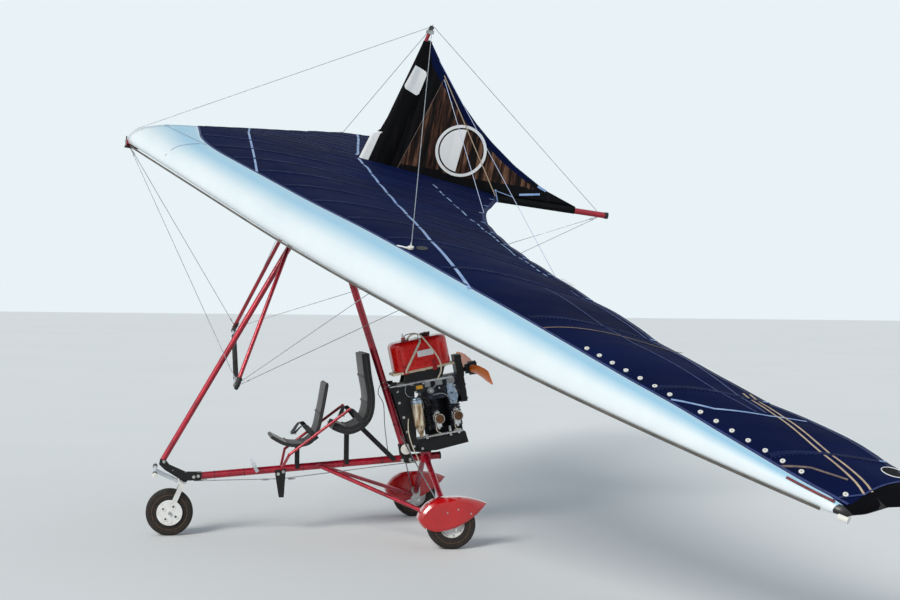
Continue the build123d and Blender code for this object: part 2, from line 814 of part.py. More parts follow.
parts["skid_post"] = skid_post()


def under_cable():
    """The tension wire below the base tube, over the foot of its post."""
    front_x, rear_x = BASE_FRONT[0] - 10, LEG_TOP_X + 46
    front = st(front_x, 0, base_z(front_x) - BASE_TUBE_R - 6)
    rear = st(rear_x, 0, base_z(rear_x) - BASE_TUBE_R - 6)
    dip = st(SKID_X, 0, base_z(SKID_X) - BASE_TUBE_R - 44)
    return rod(front, dip, 3) + rod(dip, rear, 3)


parts["under_cable"] = under_cable()


def mast_bracket():
    """Two plates that join the mast's foot to the base tube, each with its round cap."""
    x = MAST_FOOT_X
    z = base_z(x)
    outline = [(x - 46, z - 20), (x + 40, z - 24), (x + 62, z + 96), (x + 4, z + 100)]
    pieces = []
    for side in SIDES.values():
        inner, outer, cap = side * MAST_R, side * (MAST_R + 12), side * (MAST_R + 20)
        pieces.append(station_plate(outline, inner, outer))
        pieces.append(rod(st(x + 8, outer, z + 4), st(x + 8, cap, z + 4), 34))
    return joined(pieces)


parts["mast_bracket"] = mast_bracket()


BRACE_TOP_Z = 668
BRACE_R = 4


def mast_braces():
    """Thin rods from the mast down to the rear axle's inner ends."""
    body = None
    for side in SIDES.values():
        top = st(mast_x(BRACE_TOP_Z), side * (MAST_R + 3), BRACE_TOP_Z)
        end = st(40, side * (AXLE_INNER_Y - 30), LEG_END_Z + 66)
        one = rod(top, end, BRACE_R)
        body = one if body is None else body + one
    return body


parts["mast_braces"] = mast_braces()


# Wing frame
def keel_tube():
    body = rod((KEEL_NOSE, 0, 0), (KEEL_TAIL, 0, 0), KEEL_R) - rod((KEEL_NOSE + 1, 0, 0), (KEEL_TAIL - 1, 0, 0),
                                                                 KEEL_R - 2)
    return body


def keel_fittings():
    """Stops on the keel on both sides of the hang block's ring, and the cap on its tail."""
    body = None
    for x in (RING_HALF + 1, -RING_HALF - 13):
        one = rod((x, 0, 0), (x + 12, 0, 0), KEEL_R + 8) - rod((x - 5, 0, 0), (x + 20, 0, 0), KEEL_R + RUNNING_FIT)
        body = one if body is None else body + one
    return body + rod((KEEL_TAIL - SEAT_GAP, 0, 0), (KEEL_TAIL - 26, 0, 0), KEEL_R + 2)


def apex_bracket():
    body = None
    for side in (-1, 1):
        outline = [(APEX_X - 14, 16), (APEX_X + 26, 16), (APEX_X + 30, -APEX_DROP - 24), (APEX_X - 6, -APEX_DROP - 24)]
        y0 = side * KEEL_R
        one = plate(outline, y0, y0 + side * 5)
        body = one if body is None else body + one
    return body


def downtube(side):
    top = Vector(APEX_X + 8, side * 42, -APEX_DROP)
    foot = Vector(BAR_X, side * (BAR_HALF - 10), -BAR_DROP + 14)
    way = (foot - top).normalized()
    shank = rod(top + way * 16, foot - way * 10, DOWNTUBE_R) - rod(top, foot, DOWNTUBE_R - 2)
    plug = rod((APEX_X + 8, side * (KEEL_R + 5), -APEX_DROP), (APEX_X + 8, side * 42, -APEX_DROP), 8)
    plug += rod(top, top + way * 30, DOWNTUBE_R - 2)
    return shank + plug


def base_bar():
    return rod((BAR_X, -BAR_HALF, -BAR_DROP), (BAR_X, BAR_HALF, -BAR_DROP), BASE_BAR_R)


# The sail's plan and height, station by station from root to tip
SAIL = [  # distance out, aft run of the trailing edge, crest over the leading edge, height of the trailing edge
    (3, 1222, 199, 28),
    (450, 1151, 200, 7),
    (1100, 987, 205, -24),
    (1600, 1001, 207, -43),
    (2300, 1155, 215, -64),
    (3000, 1382, 195, -110),
    (HALF_SPAN - 1180, 1669, 150, -173),
    (HALF_SPAN - 480, 2171, 100, -250),
    (HALF_SPAN - 230, 2259, 75, -273),
    (HALF_SPAN - 50, 2280, 55, -292),
]
SWEEP = 0.5404
BOW = 5.58e-5
BOW_FROM = 1500
DROOP = 0.0917
LIFT = 0.79e-5
LIFT_FROM = 2900


def edge_x(y):
    """Where the leading edge lies along the keel, at a distance out."""
    return KEEL_NOSE - SWEEP * y - BOW * max(0, y - BOW_FROM) ** 2


def edge_z(y):
    """Height of the leading edge's lower line."""
    return -14 - DROOP * y + LIFT * max(0, y - LIFT_FROM) ** 2


def sail_wire(y, back, crest, z1):
    """A section of the sail in x and z: a front pocket that thins into a single surface."""
    x0, z0 = edge_x(y), edge_z(y)
    chord = x0 + back
    front = (x0, y, z0)
    top = (x0 - 0.28 * chord, y, z0 + crest)
    end = (x0 - chord, y, z1)
    mid_z = z0 + crest + (z1 - z0 - crest) * 0.46 + 0.008 * chord
    mid = (x0 - 0.64 * chord, y, mid_z)

    def under(p):
        return (p[0], p[1], p[2] - SAIL_T)

    edges = [
        Edge.make_three_point_arc(front, (x0 - 0.07 * chord, y, z0 + 0.68 * crest), top),
        Edge.make_three_point_arc(top, mid, end),
        Edge.make_line(end, under(end)),
        Edge.make_three_point_arc(under(end), under(mid), under(top)),
        Edge.make_line(under(top), front),
    ]
    return Wire(edges)


def sail_half(side):
    """Half the sail, cut clear of the keel and the kingpost."""
    half = Solid.make_loft([sail_wire(*row) for row in SAIL], ruled=True)
    if side < 0:
        half = mirror(half, Plane.XZ)
    keel = rod((KEEL_NOSE + 50, 0, 0), (KEEL_TAIL, 0, 0), KEEL_R + SEAT_GAP)
    return half - keel - post_space()


CROSS_X = -80
CROSS_R = 19
CROSS_DROP = -62


def cross_end(side):
    return Vector(edge_x(CROSS_Y) - 60, side * CROSS_Y, edge_z(CROSS_Y) - 2)


def cross_tubes():
    """The two cross tubes and the block that carries their inner ends on the keel."""
    pieces = [rod((CROSS_X, side * 26, CROSS_DROP), cross_end(side), CROSS_R) for side in SIDES.values()]
    high = -KEEL_R - SEAT_GAP
    pieces.append(box((CROSS_X, 0, (CROSS_DROP + high) / 2), (60, 110, high - CROSS_DROP)))
    return joined(pieces)


def kingpost():
    foot = (KINGPOST_FOOT[0], 0, 0)
    post = rod(foot, (KINGPOST_TOP[0], 0, KINGPOST_TOP[1]), KINGPOST_R)
    return post - rod((0, 0, 0), (KEEL_TAIL, 0, 0), KEEL_R + SEAT_GAP)


# Fin: its front edge stands ahead of the kingpost, its rear edge falls in a hollow curve to the keel
FIN_T = 6
FIN_APEX = (-566, 1010)
FIN_LUFF = [  # height, lead of the cloth ahead of the kingpost's axis
    (118, 30),
    (120, 117),
    (318, 93),
    (340, 38),
    (446, 42),
    (820, 17),
    (FIN_APEX[1], 8),
]
FIN_HOLLOW = (-853, 629)
FIN_WAIST = (-1112, 388)
FIN_FLARE = (-1300, 252)
FIN_FOOT = (-1548, 114)
POCKET_TAIL = KEEL_TAIL + 214


def post_x(z):
    """Where the kingpost's axis stands at a height above the keel."""
    share = z / KINGPOST_TOP[1]
    return KINGPOST_FOOT[0] + (KINGPOST_TOP[0] - KINGPOST_FOOT[0]) * share


def post_space():
    """The room that the kingpost takes in cloth around it."""
    return rod((KINGPOST_FOOT[0], 0, 0), (KINGPOST_TOP[0], 0, KINGPOST_TOP[1]), KINGPOST_R + SEAT_GAP)


def fin():
    """The tall fin on the keel behind the kingpost, with the tail of the keel pocket below it."""
    z0 = KEEL_R + SEAT_GAP
    front = [Vector(KINGPOST_FOOT[0] - 32, 0, z0)]
    front += [Vector(post_x(z) + lead, 0, z) for z, lead in FIN_LUFF]
    apex, hollow, waist, flare, foot = (
        Vector(x, 0, z) for x, z in (FIN_APEX, FIN_HOLLOW, FIN_WAIST, FIN_FLARE, FIN_FOOT))
    tail_top, tail_low = Vector(POCKET_TAIL, 0, z0 + 6), Vector(POCKET_TAIL, 0, z0)
    edges = [Edge.make_line(a, b) for a, b in zip(front, front[1:])]
    edges.append(Edge.make_line(front[-1], apex))
    edges.append(Edge.make_three_point_arc(apex, hollow, waist))
    edges.append(Edge.make_three_point_arc(waist, flare, foot))
    edges.append(Edge.make_line(foot, tail_top))
    edges.append(Edge.make_line(tail_top, tail_low))
    edges.append(Edge.make_line(tail_low, front[0]))
    panel = Pos(0, FIN_T / 2, 0) * Solid.extrude(Face(Wire(edges)), Vector(0, -FIN_T, 0))
    return panel - post_space()


def keel_pocket():
    """The upright cloth between the keel and the sail's crown, ahead of the kingpost."""
    z0 = KEEL_R + SEAT_GAP
    notch = RING_HALF + 20
    rear = KINGPOST_FOOT[0] + 28
    outline = [(KEEL_NOSE - 66, z0), (KEEL_NOSE - 120, 92), (KEEL_NOSE - 246, 138), (900, 170), (640, 181),
               (200, 146), (rear, 106), (rear, z0), (-notch, z0), (-notch, RING_R + 8), (notch, RING_R + 8),
               (notch, z0)]
    return plate(outline, -FIN_T / 2, FIN_T / 2)


WIRE_R = 2
CORNER = Vector(BAR_X, BAR_HALF - 6, -BAR_DROP + 18)
TANG_X = -294
TANG_RISE = 219


def wire_pair(a, b):
    """The same wire to port and starboard."""
    a, b = Vector(*a), Vector(*b)
    return [rod((a.X, side * a.Y, a.Z), (b.X, side * b.Y, b.Z), WIRE_R) for side in SIDES.values()]


def lower_wires():
    end = cross_end(1)
    pieces = wire_pair(CORNER + Vector(6, 0, 22), (KEEL_NOSE - 30, 16, -KEEL_R - 12))
    pieces += wire_pair(CORNER + Vector(-22, 6, 26), end + Vector(0, 0, -CROSS_R - 3))
    pieces += wire_pair(CORNER + Vector(-26, -4, 6), (KEEL_TAIL + 50, 8, -KEEL_R - 0.8))
    return joined(pieces)


def upper_wires():
    top = Vector(KINGPOST_TOP[0], 0, KINGPOST_TOP[1] - 8)
    nose = rod(top + Vector(KINGPOST_R + 8, 0, 0), (KEEL_NOSE - 40, 0, 96), WIRE_R)
    tail = rod(top + Vector(-KINGPOST_R - 2, 0, 10), (KEEL_TAIL + 60, 0, KEEL_R + 3), WIRE_R)
    sides = wire_pair(top + Vector(0, KINGPOST_R + 5, 0), (TANG_X, CROSS_Y, edge_z(CROSS_Y) + TANG_RISE))
    return joined([nose, tail, *sides])


def nose_plate():
    under = box((KEEL_NOSE - 38, 0, -KEEL_R - 4), (96, 104, 6))
    post = rod((KEEL_NOSE + 4.3, 0, -26), (KEEL_NOSE + 4.3, 0, 44), 4)
    return under + post


TIP_CAP_R = 17


def tip_caps():
    pieces = []
    for side in SIDES.values():
        ends = []
        for y in (HALF_SPAN - 38, HALF_SPAN - 4):
            ends.append(Vector(edge_x(y) - TIP_CAP_R, side * y, edge_z(y) + 4))
        pieces.append(rod(*ends, TIP_CAP_R))
    return joined(pieces)


wing_parts = {
    "keel_tube": keel_tube(),
    "keel_fittings": keel_fittings(),
    "apex_bracket": apex_bracket(),
    "downtubes": joined([downtube(1), downtube(-1)]),
    "base_bar": base_bar(),
    "cross_tubes": cross_tubes(),
    "kingpost": kingpost(),
    "port_sail": sail_half(1),
    "starboard_sail": sail_half(-1),
    "keel_pocket": keel_pocket(),
    "fin": fin(),
    "nose_plate": nose_plate(),
    "tip_caps": tip_caps(),
    "lower_wires": lower_wires(),
    "upper_wires": upper_wires(),
}
for name, shape in wing_parts.items():
    parts[name] = wing_place(shape)

os.makedirs("parts", exist_ok=True)
for name, shape in parts.items():
    export_step(shape, f"parts/{name}.step")
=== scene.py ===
"""Look model of a two-seat flex-wing microlight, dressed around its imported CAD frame."""
from math import cos, hypot, pi, radians, sin, sqrt

import bmesh
import bpy
from bpy.props import FloatProperty, FloatVectorProperty, IntProperty, PointerProperty
from bpy.types import Operator, Panel, PropertyGroup
from mathutils import Matrix, Vector, noise


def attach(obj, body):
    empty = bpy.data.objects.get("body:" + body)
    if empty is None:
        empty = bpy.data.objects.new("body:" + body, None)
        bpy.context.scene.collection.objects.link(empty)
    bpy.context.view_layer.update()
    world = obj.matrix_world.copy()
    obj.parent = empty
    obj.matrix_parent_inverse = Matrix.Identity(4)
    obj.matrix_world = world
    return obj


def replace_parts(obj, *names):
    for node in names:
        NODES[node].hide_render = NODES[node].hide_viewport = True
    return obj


bl_info = {
    "name": "Flex-wing microlight",
    "version": (1, 0, 0),
    "blender": (4, 5, 0),
    "location": "View3D > Sidebar > Microlight",
    "description": "Dresses the packed frame of a two-seat flex-wing microlight",
    "category": "Object",
}

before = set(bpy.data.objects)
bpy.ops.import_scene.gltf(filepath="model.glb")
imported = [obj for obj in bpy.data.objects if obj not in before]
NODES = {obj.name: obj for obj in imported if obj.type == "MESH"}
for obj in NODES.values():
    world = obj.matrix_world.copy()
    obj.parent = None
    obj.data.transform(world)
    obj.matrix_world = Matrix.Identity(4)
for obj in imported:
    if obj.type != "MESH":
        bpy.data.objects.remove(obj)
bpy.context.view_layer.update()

# Places, in metres, as in the CAD source: the hang bolt above the rear axle and the ground
HANG_X = 0.782
HANG_Z = 2.363
WHEEL_R = 0.158
PROP_HUB = (-0.214, 1.131)
ENGINE_TILT = 10
CYLINDER_FORE = (0.117, 0.248)
CAN_AXIS = (0.382, 0.1293)  # of the exhaust can, ahead and out in the engine's frame
FRONT_AXLE_X = 1.8
HALF_TRACK = 0.762
TANK_CENTRE = (0.104, 1.245)
TANK_TILT = 12
MAST_FOOT = (0.175, 0.5145)
SIDES = {"port": 1, "starboard": -1}

# The wing's own frame: x ahead of the hang point along the keel, z above the keel
WING = (Matrix.Rotation(radians(-7.14), 4, "Y") @ Matrix.Translation((0, 0, 0.119))
        @ Matrix.Rotation(radians(-13.15), 4, "X"))
KEEL_NOSE = 1.356
HALF_SPAN = 4.88
# What each sheet is cut to, worked out from the plan's stations and not from the drawn cloth
BAR = (0.427, 0.775, -1.38)
KINGPOST_FOOT = Vector((-0.29, 0, 0))
KINGPOST_TOP = Vector((-0.559, 0, 1.1))
SAIL = (  # distance out, aft run of the trailing edge, height of the crest, height of the trailing edge
    (0, 1.222, 0.199, 0.028),
    (0.27, 1.165, 0.2, 0.016),
    (0.67, 1.033, 0.202, -0.003),
    (0.88, 0.992, 0.204, -0.013),
    (1.1, 0.977, 0.205, -0.024),
    (1.6, 1.012, 0.207, -0.043),
    (2.3, 1.155, 0.215, -0.064),
    (3.0, 1.382, 0.195, -0.11),
    (3.7, 1.669, 0.15, -0.173),
    (4.4, 2.171, 0.1, -0.25),
    (4.65, 2.259, 0.075, -0.273),
    (4.88, 2.281, 0.05, -0.297),
)
SILVER_EDGE = (  # distance out, width of the silver panel aft of the leading edge
    (0, 0.45), (0.2, 0.36), (0.3, 0.316), (0.5, 0.27), (0.75, 0.252), (1.3, 0.248), (2.0, 0.24), (2.45, 0.22),
    (2.86, 0.197), (3.25, 0.175), (3.6, 0.148), (3.87, 0.124), (4.11, 0.109), (4.35, 0.079), (4.57, 0.05),
    (4.75, 0.03), (4.88, 0.027),
)
BATTENS = (0.24, 0.5, 0.77, 1.05, 1.34, 1.64, 1.96, 2.3, 2.72, 3.3, 3.98, 4.52)
UNDER_SHARE = 0.45


def linear(code):
    """A colour from its sRGB hex code."""
    parts = [int(code[k:k + 2], 16) / 255 for k in (1, 3, 5)]
    return tuple(c / 12.92 if c <= 0.04045 else ((c + 0.055) / 1.055) ** 2.4 for c in parts) + (1,)


def st(x, y, z):
    """A point of the trike: ahead of the rear axle, to port, above the ground."""
    return Vector((x - HANG_X, y, z - HANG_Z))


def mast_x(z):
    """Station of the mast's axis at a height."""
    return MAST_FOOT[0] + (HANG_X - MAST_FOOT[0]) * (z - MAST_FOOT[1]) / (HANG_Z - MAST_FOOT[1])


def base_z(x):
    """Height of the base tube's axis at a station."""
    return 0.531 - 0.135 * (x + 0.06) / 1.71


ENGINE = Matrix.Translation(st(PROP_HUB[0], 0, PROP_HUB[1])) @ Matrix.Rotation(radians(ENGINE_TILT), 4, "Y")
ENGINE_AFT = ENGINE.to_3x3() @ Vector((-1, 0, 0))
TANK = Matrix.Translation(st(TANK_CENTRE[0], 0, TANK_CENTRE[1])) @ Matrix.Rotation(radians(TANK_TILT), 4, "Y")
TANK_UP = TANK.to_3x3() @ Vector((0, 0, 1))


def table_at(table, y, column=1):
    """A smooth value from a table whose rows start with their place."""
    rows = [(row[0], row[column]) for row in table]
    k = max(0, min(len(rows) - 2, sum(y > row[0] for row in rows) - 1))
    (y0, a), (y1, b) = rows[k], rows[k + 1]
    slope = [(rows[min(n + 1, len(rows) - 1)][1] - rows[max(n - 1, 0)][1])
             / (rows[min(n + 1, len(rows) - 1)][0] - rows[max(n - 1, 0)][0]) for n in (k, k + 1)]
    span = y1 - y0
    t = (y - y0) / span
    return (a * (2 * t ** 3 - 3 * t ** 2 + 1) + b * (3 * t ** 2 - 2 * t ** 3)
            + slope[0] * span * (t ** 3 - 2 * t ** 2 + t) + slope[1] * span * (t ** 3 - t ** 2))


def smooth(low, high, value):
    """Rises from 0 at low to 1 at high."""
    t = min(1, max(0, (value - low) / (high - low)))
    return t * t * (3 - 2 * t)


# Material nodes
def node(tree, kind, values=None, links=None, **settings):
    """Adds a node with its settings, its inputs' values and what is linked to them."""
    made = tree.nodes.new(kind)
    for name, value in settings.items():
        setattr(made, name, value)
    for key, value in (values or {}).items():
        made.inputs[key].default_value = value
    for key, source in (links or {}).items():
        tree.links.new(source, made.inputs[key])
    return made


def ramp(tree, factor, stops):
    """A colour ramp through (place, hex) stops."""
    made = node(tree, "ShaderNodeValToRGB", links={"Fac": factor})
    while len(made.color_ramp.elements) < len(stops):
        made.color_ramp.elements.new(0.5)
    for element, (place, code) in zip(made.color_ramp.elements, stops):
        element.position = place
        element.color = linear(code) if isinstance(code, str) else code
    return made.outputs["Color"]


def surface(name, stops, patch_mm, rough, grain=None, space="Object", stretch=(1, 1, 1), metal=0, coat=0,
            coat_rough=0.05, sheen=0, specular=0.5):
    """A material whose colour drifts between stops over patches of a real size.

    grain is (pattern, size in mm, depth in mm)."""
    made = bpy.data.materials.new(name)
    made.use_nodes = True
    tree = made.node_tree
    shader = tree.nodes["Principled BSDF"]
    for key, value in {"Metallic": metal, "Coat Weight": coat, "Coat Roughness": coat_rough,
                       "Sheen Weight": sheen, "Specular IOR Level": specular}.items():
        shader.inputs[key].default_value = value
    place = node(tree, "ShaderNodeTexCoord").outputs[space]
    place = node(tree, "ShaderNodeMapping", {"Scale": stretch}, {"Vector": place}).outputs["Vector"]
    drift = node(tree, "ShaderNodeTexNoise", {"Scale": 1000 / patch_mm, "Detail": 5, "Roughness": 0.6},
                 {"Vector": place}).outputs["Fac"]
    tree.links.new(ramp(tree, drift, stops), shader.inputs["Base Color"])
    fine = node(tree, "ShaderNodeTexNoise", {"Scale": 4000 / patch_mm, "Detail": 4}, {"Vector": place})
    spread = node(tree, "ShaderNodeMapRange", {"To Min": rough[0], "To Max": rough[1], "From Min": 0.3,
                                               "From Max": 0.7}, {"Value": fine.outputs["Fac"]})
    tree.links.new(spread.outputs["Result"], shader.inputs["Roughness"])
    if grain:
        kind, size, depth = grain
        if kind == "weave":
            waves = [node(tree, "ShaderNodeTexWave", {"Scale": 1000 / size / pi / 2, "Distortion": 0.4},
                          {"Vector": place}, bands_direction=way).outputs["Fac"] for way in "XY"]
            height = node(tree, "ShaderNodeMath", links={0: waves[0], 1: waves[1]},
                          operation="MULTIPLY").outputs[0]
        elif kind == "strand":
            height = node(tree, "ShaderNodeTexWave", {"Scale": 1000 / size / pi / 2, "Distortion": 0},
                          {"Vector": place}, bands_direction="DIAGONAL").outputs["Fac"]
        elif kind == "cells":
            height = node(tree, "ShaderNodeTexVoronoi", {"Scale": 1000 / size},
                          {"Vector": place}).outputs["Distance"]
        else:
            height = node(tree, "ShaderNodeTexNoise", {"Scale": 1000 / size, "Detail": 3},
                          {"Vector": place}).outputs["Fac"]
        bump = node(tree, "ShaderNodeBump", {"Strength": 0.6, "Distance": depth / 1000}, {"Height": height})
        tree.links.new(bump.outputs["Normal"], shader.inputs["Normal"])
    return made


def make_materials(sail, trike):
    """Every finish on the aircraft, by its own name."""
    m = {}
    # Tubes of aluminium alloy, dyed crimson and sealed: deep and glossy, a little darker where handled
    m["red_tube"] = surface("crimson anodised alloy", [(0.25, trike.tube_dark), (0.7, trike.tube_colour)],
                            140, (0.2, 0.38), ("noise", 3, 0.02), metal=0.35, coat=0.5, coat_rough=0.12)
    # Glass-fibre shells with a polished red gelcoat
    m["gelcoat"] = surface("red gelcoat", [(0.2, "#a3040c"), (0.75, trike.spat_colour)], 180, (0.12, 0.26),
                           ("noise", 45, 0.25), coat=0.8, coat_rough=0.05)
    # Pressed steel sheet sprayed with red enamel, orange-peel texture
    m["enamel"] = surface("red stove enamel", [(0.2, "#b50f0d"), (0.65, trike.tank_colour)], 90, (0.2, 0.36),
                          ("noise", 4, 0.05), coat=0.3, coat_rough=0.1, specular=0.35)
    # Steel plates in brushed black paint, rubbed greyer at places
    m["black"] = surface("black chassis paint", [(0.3, "#060607"), (0.62, "#0d0d0f"), (0.8, "#1d1d20")], 60,
                         (0.35, 0.6), ("noise", 2.5, 0.05), specular=0.35)
    # Drawn aluminium, bare and slightly oxidised
    m["alloy"] = surface("bare drawn aluminium", [(0.25, "#a8adb3"), (0.7, "#d3d8dc")], 70, (0.24, 0.42),
                         ("noise", 2, 0.03), metal=0.9)
    # Sand-cast aluminium of the engine, oily in the corners
    m["cast"] = surface("sand-cast aluminium", [(0.25, "#6d6e70"), (0.55, "#9c9ea0"), (0.8, "#c3c5c6")], 35,
                        (0.38, 0.62), ("noise", 1.8, 0.25), metal=0.75)
    # Zinc-plated steel of axles, bolts and levers
    m["steel"] = surface("zinc-plated steel", [(0.3, "#9b9c9a"), (0.7, "#cfcfc9")], 20, (0.22, 0.4),
                         metal=1.0)
    # Stainless rigging wire, seven strands laid round; the lay is drawn coarse enough to show
    m["wire"] = surface("stranded stainless wire", [(0.3, "#878c92"), (0.7, "#b9bec4")], 30, (0.25, 0.45),
                        ("strand", 6, 0.4), metal=0.9)
    # Wheels and fork in white two-pack paint with road dust
    m["white"] = surface("white two-pack paint", [(0.2, "#c9c6bb"), (0.45, "#e6e7e4"), (0.8, "#f2f4f4")], 45,
                         (0.22, 0.4), ("noise", 3, 0.04), coat=0.3)
    # Moulded white nylon of caps
    m["nylon"] = surface("white moulded nylon", [(0.3, "#dcdcd4"), (0.7, "#efefea")], 30, (0.35, 0.5),
                         ("noise", 2, 0.03))
    # Tyre rubber, brown with dried mud on the walls
    m["tyre"] = surface("dusty tyre rubber", [(0.25, "#141210"), (0.55, "#231c17"), (0.8, "#3c3026")], 40,
                        (0.7, 0.92), ("noise", 2, 0.2))
    # Black cotton-backed canvas of the sling seats; threads drawn at 3 mm so that they show
    m["canvas"] = surface("black seat canvas", [(0.3, "#0c0c0e"), (0.7, "#1b1b1f")], 90, (0.75, 0.95),
                          ("weave", 3, 0.35), sheen=0.35)
    # Nylon webbing of the belts
    m["webbing"] = surface("black nylon webbing", [(0.3, "#101012"), (0.7, "#1f2024")], 20, (0.55, 0.75),
                           ("weave", 2.2, 0.4), sheen=0.2)
    # Foam rubber grips
    m["foam"] = surface("black foam rubber", [(0.3, "#0d0d0d"), (0.7, "#1a1a1a")], 12, (0.85, 0.97),
                        ("cells", 2.5, 0.4))
    # Oiled gauze of the air filters, brown with dust
    m["gauze"] = surface("oiled filter gauze", [(0.25, "#3c2410"), (0.55, "#6b4522"), (0.8, "#8d6236")], 12,
                         (0.6, 0.85), ("weave", 2.5, 0.8))
    # Exhaust sheet steel, straw and bronze from heat; the near-white band, drawn as upright streaks, is a
    # painted highlight
    m["heat"] = surface("heat-tinted exhaust steel with painted highlight",
                        [(0.3, "#4d3a2a"), (0.48, "#a78c68"), (0.58, "#ece0c8"), (0.75, "#8c6c4a")], 34,
                        (0.28, 0.5), ("noise", 6, 0.1), stretch=(1, 1, 0.22), metal=0.7)
    # Cream-painted pressed tray
    m["cream"] = surface("cream painted steel", [(0.25, "#cbbf9b"), (0.6, "#ebe2c6"), (0.8, "#f5efdc")], 50,
                         (0.4, 0.6), ("noise", 3, 0.06))
    # Clear petrol hose, yellowed
    m["hose"] = surface("yellowed vinyl hose", [(0.3, "#cfc2a0"), (0.7, "#efe8d6")], 18, (0.25, 0.4),
                        coat=0.4)
    # Rubber of cable sleeves, plug caps and boots
    m["rubber"] = surface("black moulded rubber", [(0.3, "#0a0a0b"), (0.7, "#1c1c1d")], 14, (0.5, 0.7),
                          ("noise", 2, 0.06))
    # Laminated propeller, lacquered orange over the grain
    m["blade"] = surface("orange lacquered beech", [(0.25, "#ee6a0c"), (0.5, "#ff7f1c"), (0.8, "#ff9c40")],
                         40, (0.35, 0.5), stretch=(1, 0.12, 1), coat=0.15, coat_rough=0.2)
    m["amber"] = surface("amber printed plate", [(0.3, "#c88a12"), (0.7, "#f0b429")], 20, (0.4, 0.55))
    m["label"] = surface("white vinyl label", [(0.3, "#e9eceb"), (0.7, "#f8f9f9")], 25, (0.35, 0.5))
    # Engine castings under soot and oil: dark, with paler bluish patches that are painted highlights
    m["engine"] = surface("oily black cast aluminium",
                          [(0.3, "#101116"), (0.55, "#24262f"), (0.8, "#565c70")], 30, (0.35, 0.6),
                          ("noise", 1.8, 0.25), metal=0.6)
    # Die-cast carburettor alloy, polished by handling
    m["bright"] = surface("die-cast zinc alloy", [(0.25, "#a6a8aa"), (0.7, "#e6e7e6")], 18, (0.18, 0.36),
                          ("noise", 2, 0.05), metal=0.85)
    # Steel blued by heat near the cylinders
    m["blued"] = surface("heat-blued plated steel", [(0.25, "#6c7d94"), (0.55, "#a3b4c6"), (0.8, "#d6e0e8")],
                         40, (0.2, 0.4), ("noise", 3, 0.04), metal=0.85)
    m["cable"] = surface("grey PVC cable sheath", [(0.3, "#8f949c"), (0.7, "#c2c7cd")], 16, (0.35, 0.5))
    m["red_webbing"] = surface("red polyester webbing", [(0.3, "#8d0a14"), (0.7, "#c01722")], 16, (0.6, 0.8),
                               ("weave", 2.2, 0.4))
    # Pale tan ribs: partly dust, partly a painted highlight of the sunlit tyre's rim
    m["rib_rubber"] = surface("dusty tyre ribs with painted sunlit highlight", [(0.3, "#4a3320"), (0.6, "#7c5a38"), (0.8, "#a07a50")],
                              25, (0.75, 0.92), ("noise", 2, 0.15))
    m["seat_thread"] = surface("grey sewing thread", [(0.3, "#4a4c52"), (0.7, "#6c6e76")], 10, (0.6, 0.8))
    cloth_materials(m, sail)
    return m


def paint_tip_shade(material):
    """Paints shade: turns a cloth near black where its attribute "tip" is above zero, for the shaded, drooping
    tip.
    """
    tree = material.node_tree
    colour = tree.nodes["Principled BSDF"].inputs["Base Color"]
    past = node(tree, "ShaderNodeAttribute", attribute_name="tip").outputs["Fac"]
    share = node(tree, "ShaderNodeMath", {1: 0.0}, {0: past}, operation="GREATER_THAN").outputs[0]
    # Near black painted shade of the tip
    both = node(tree, "ShaderNodeMix", {7: linear("#08080c")}, {0: share, 6: colour.links[0].from_socket},
                data_type="RGBA")
    tree.links.new(both.outputs[2], colour)


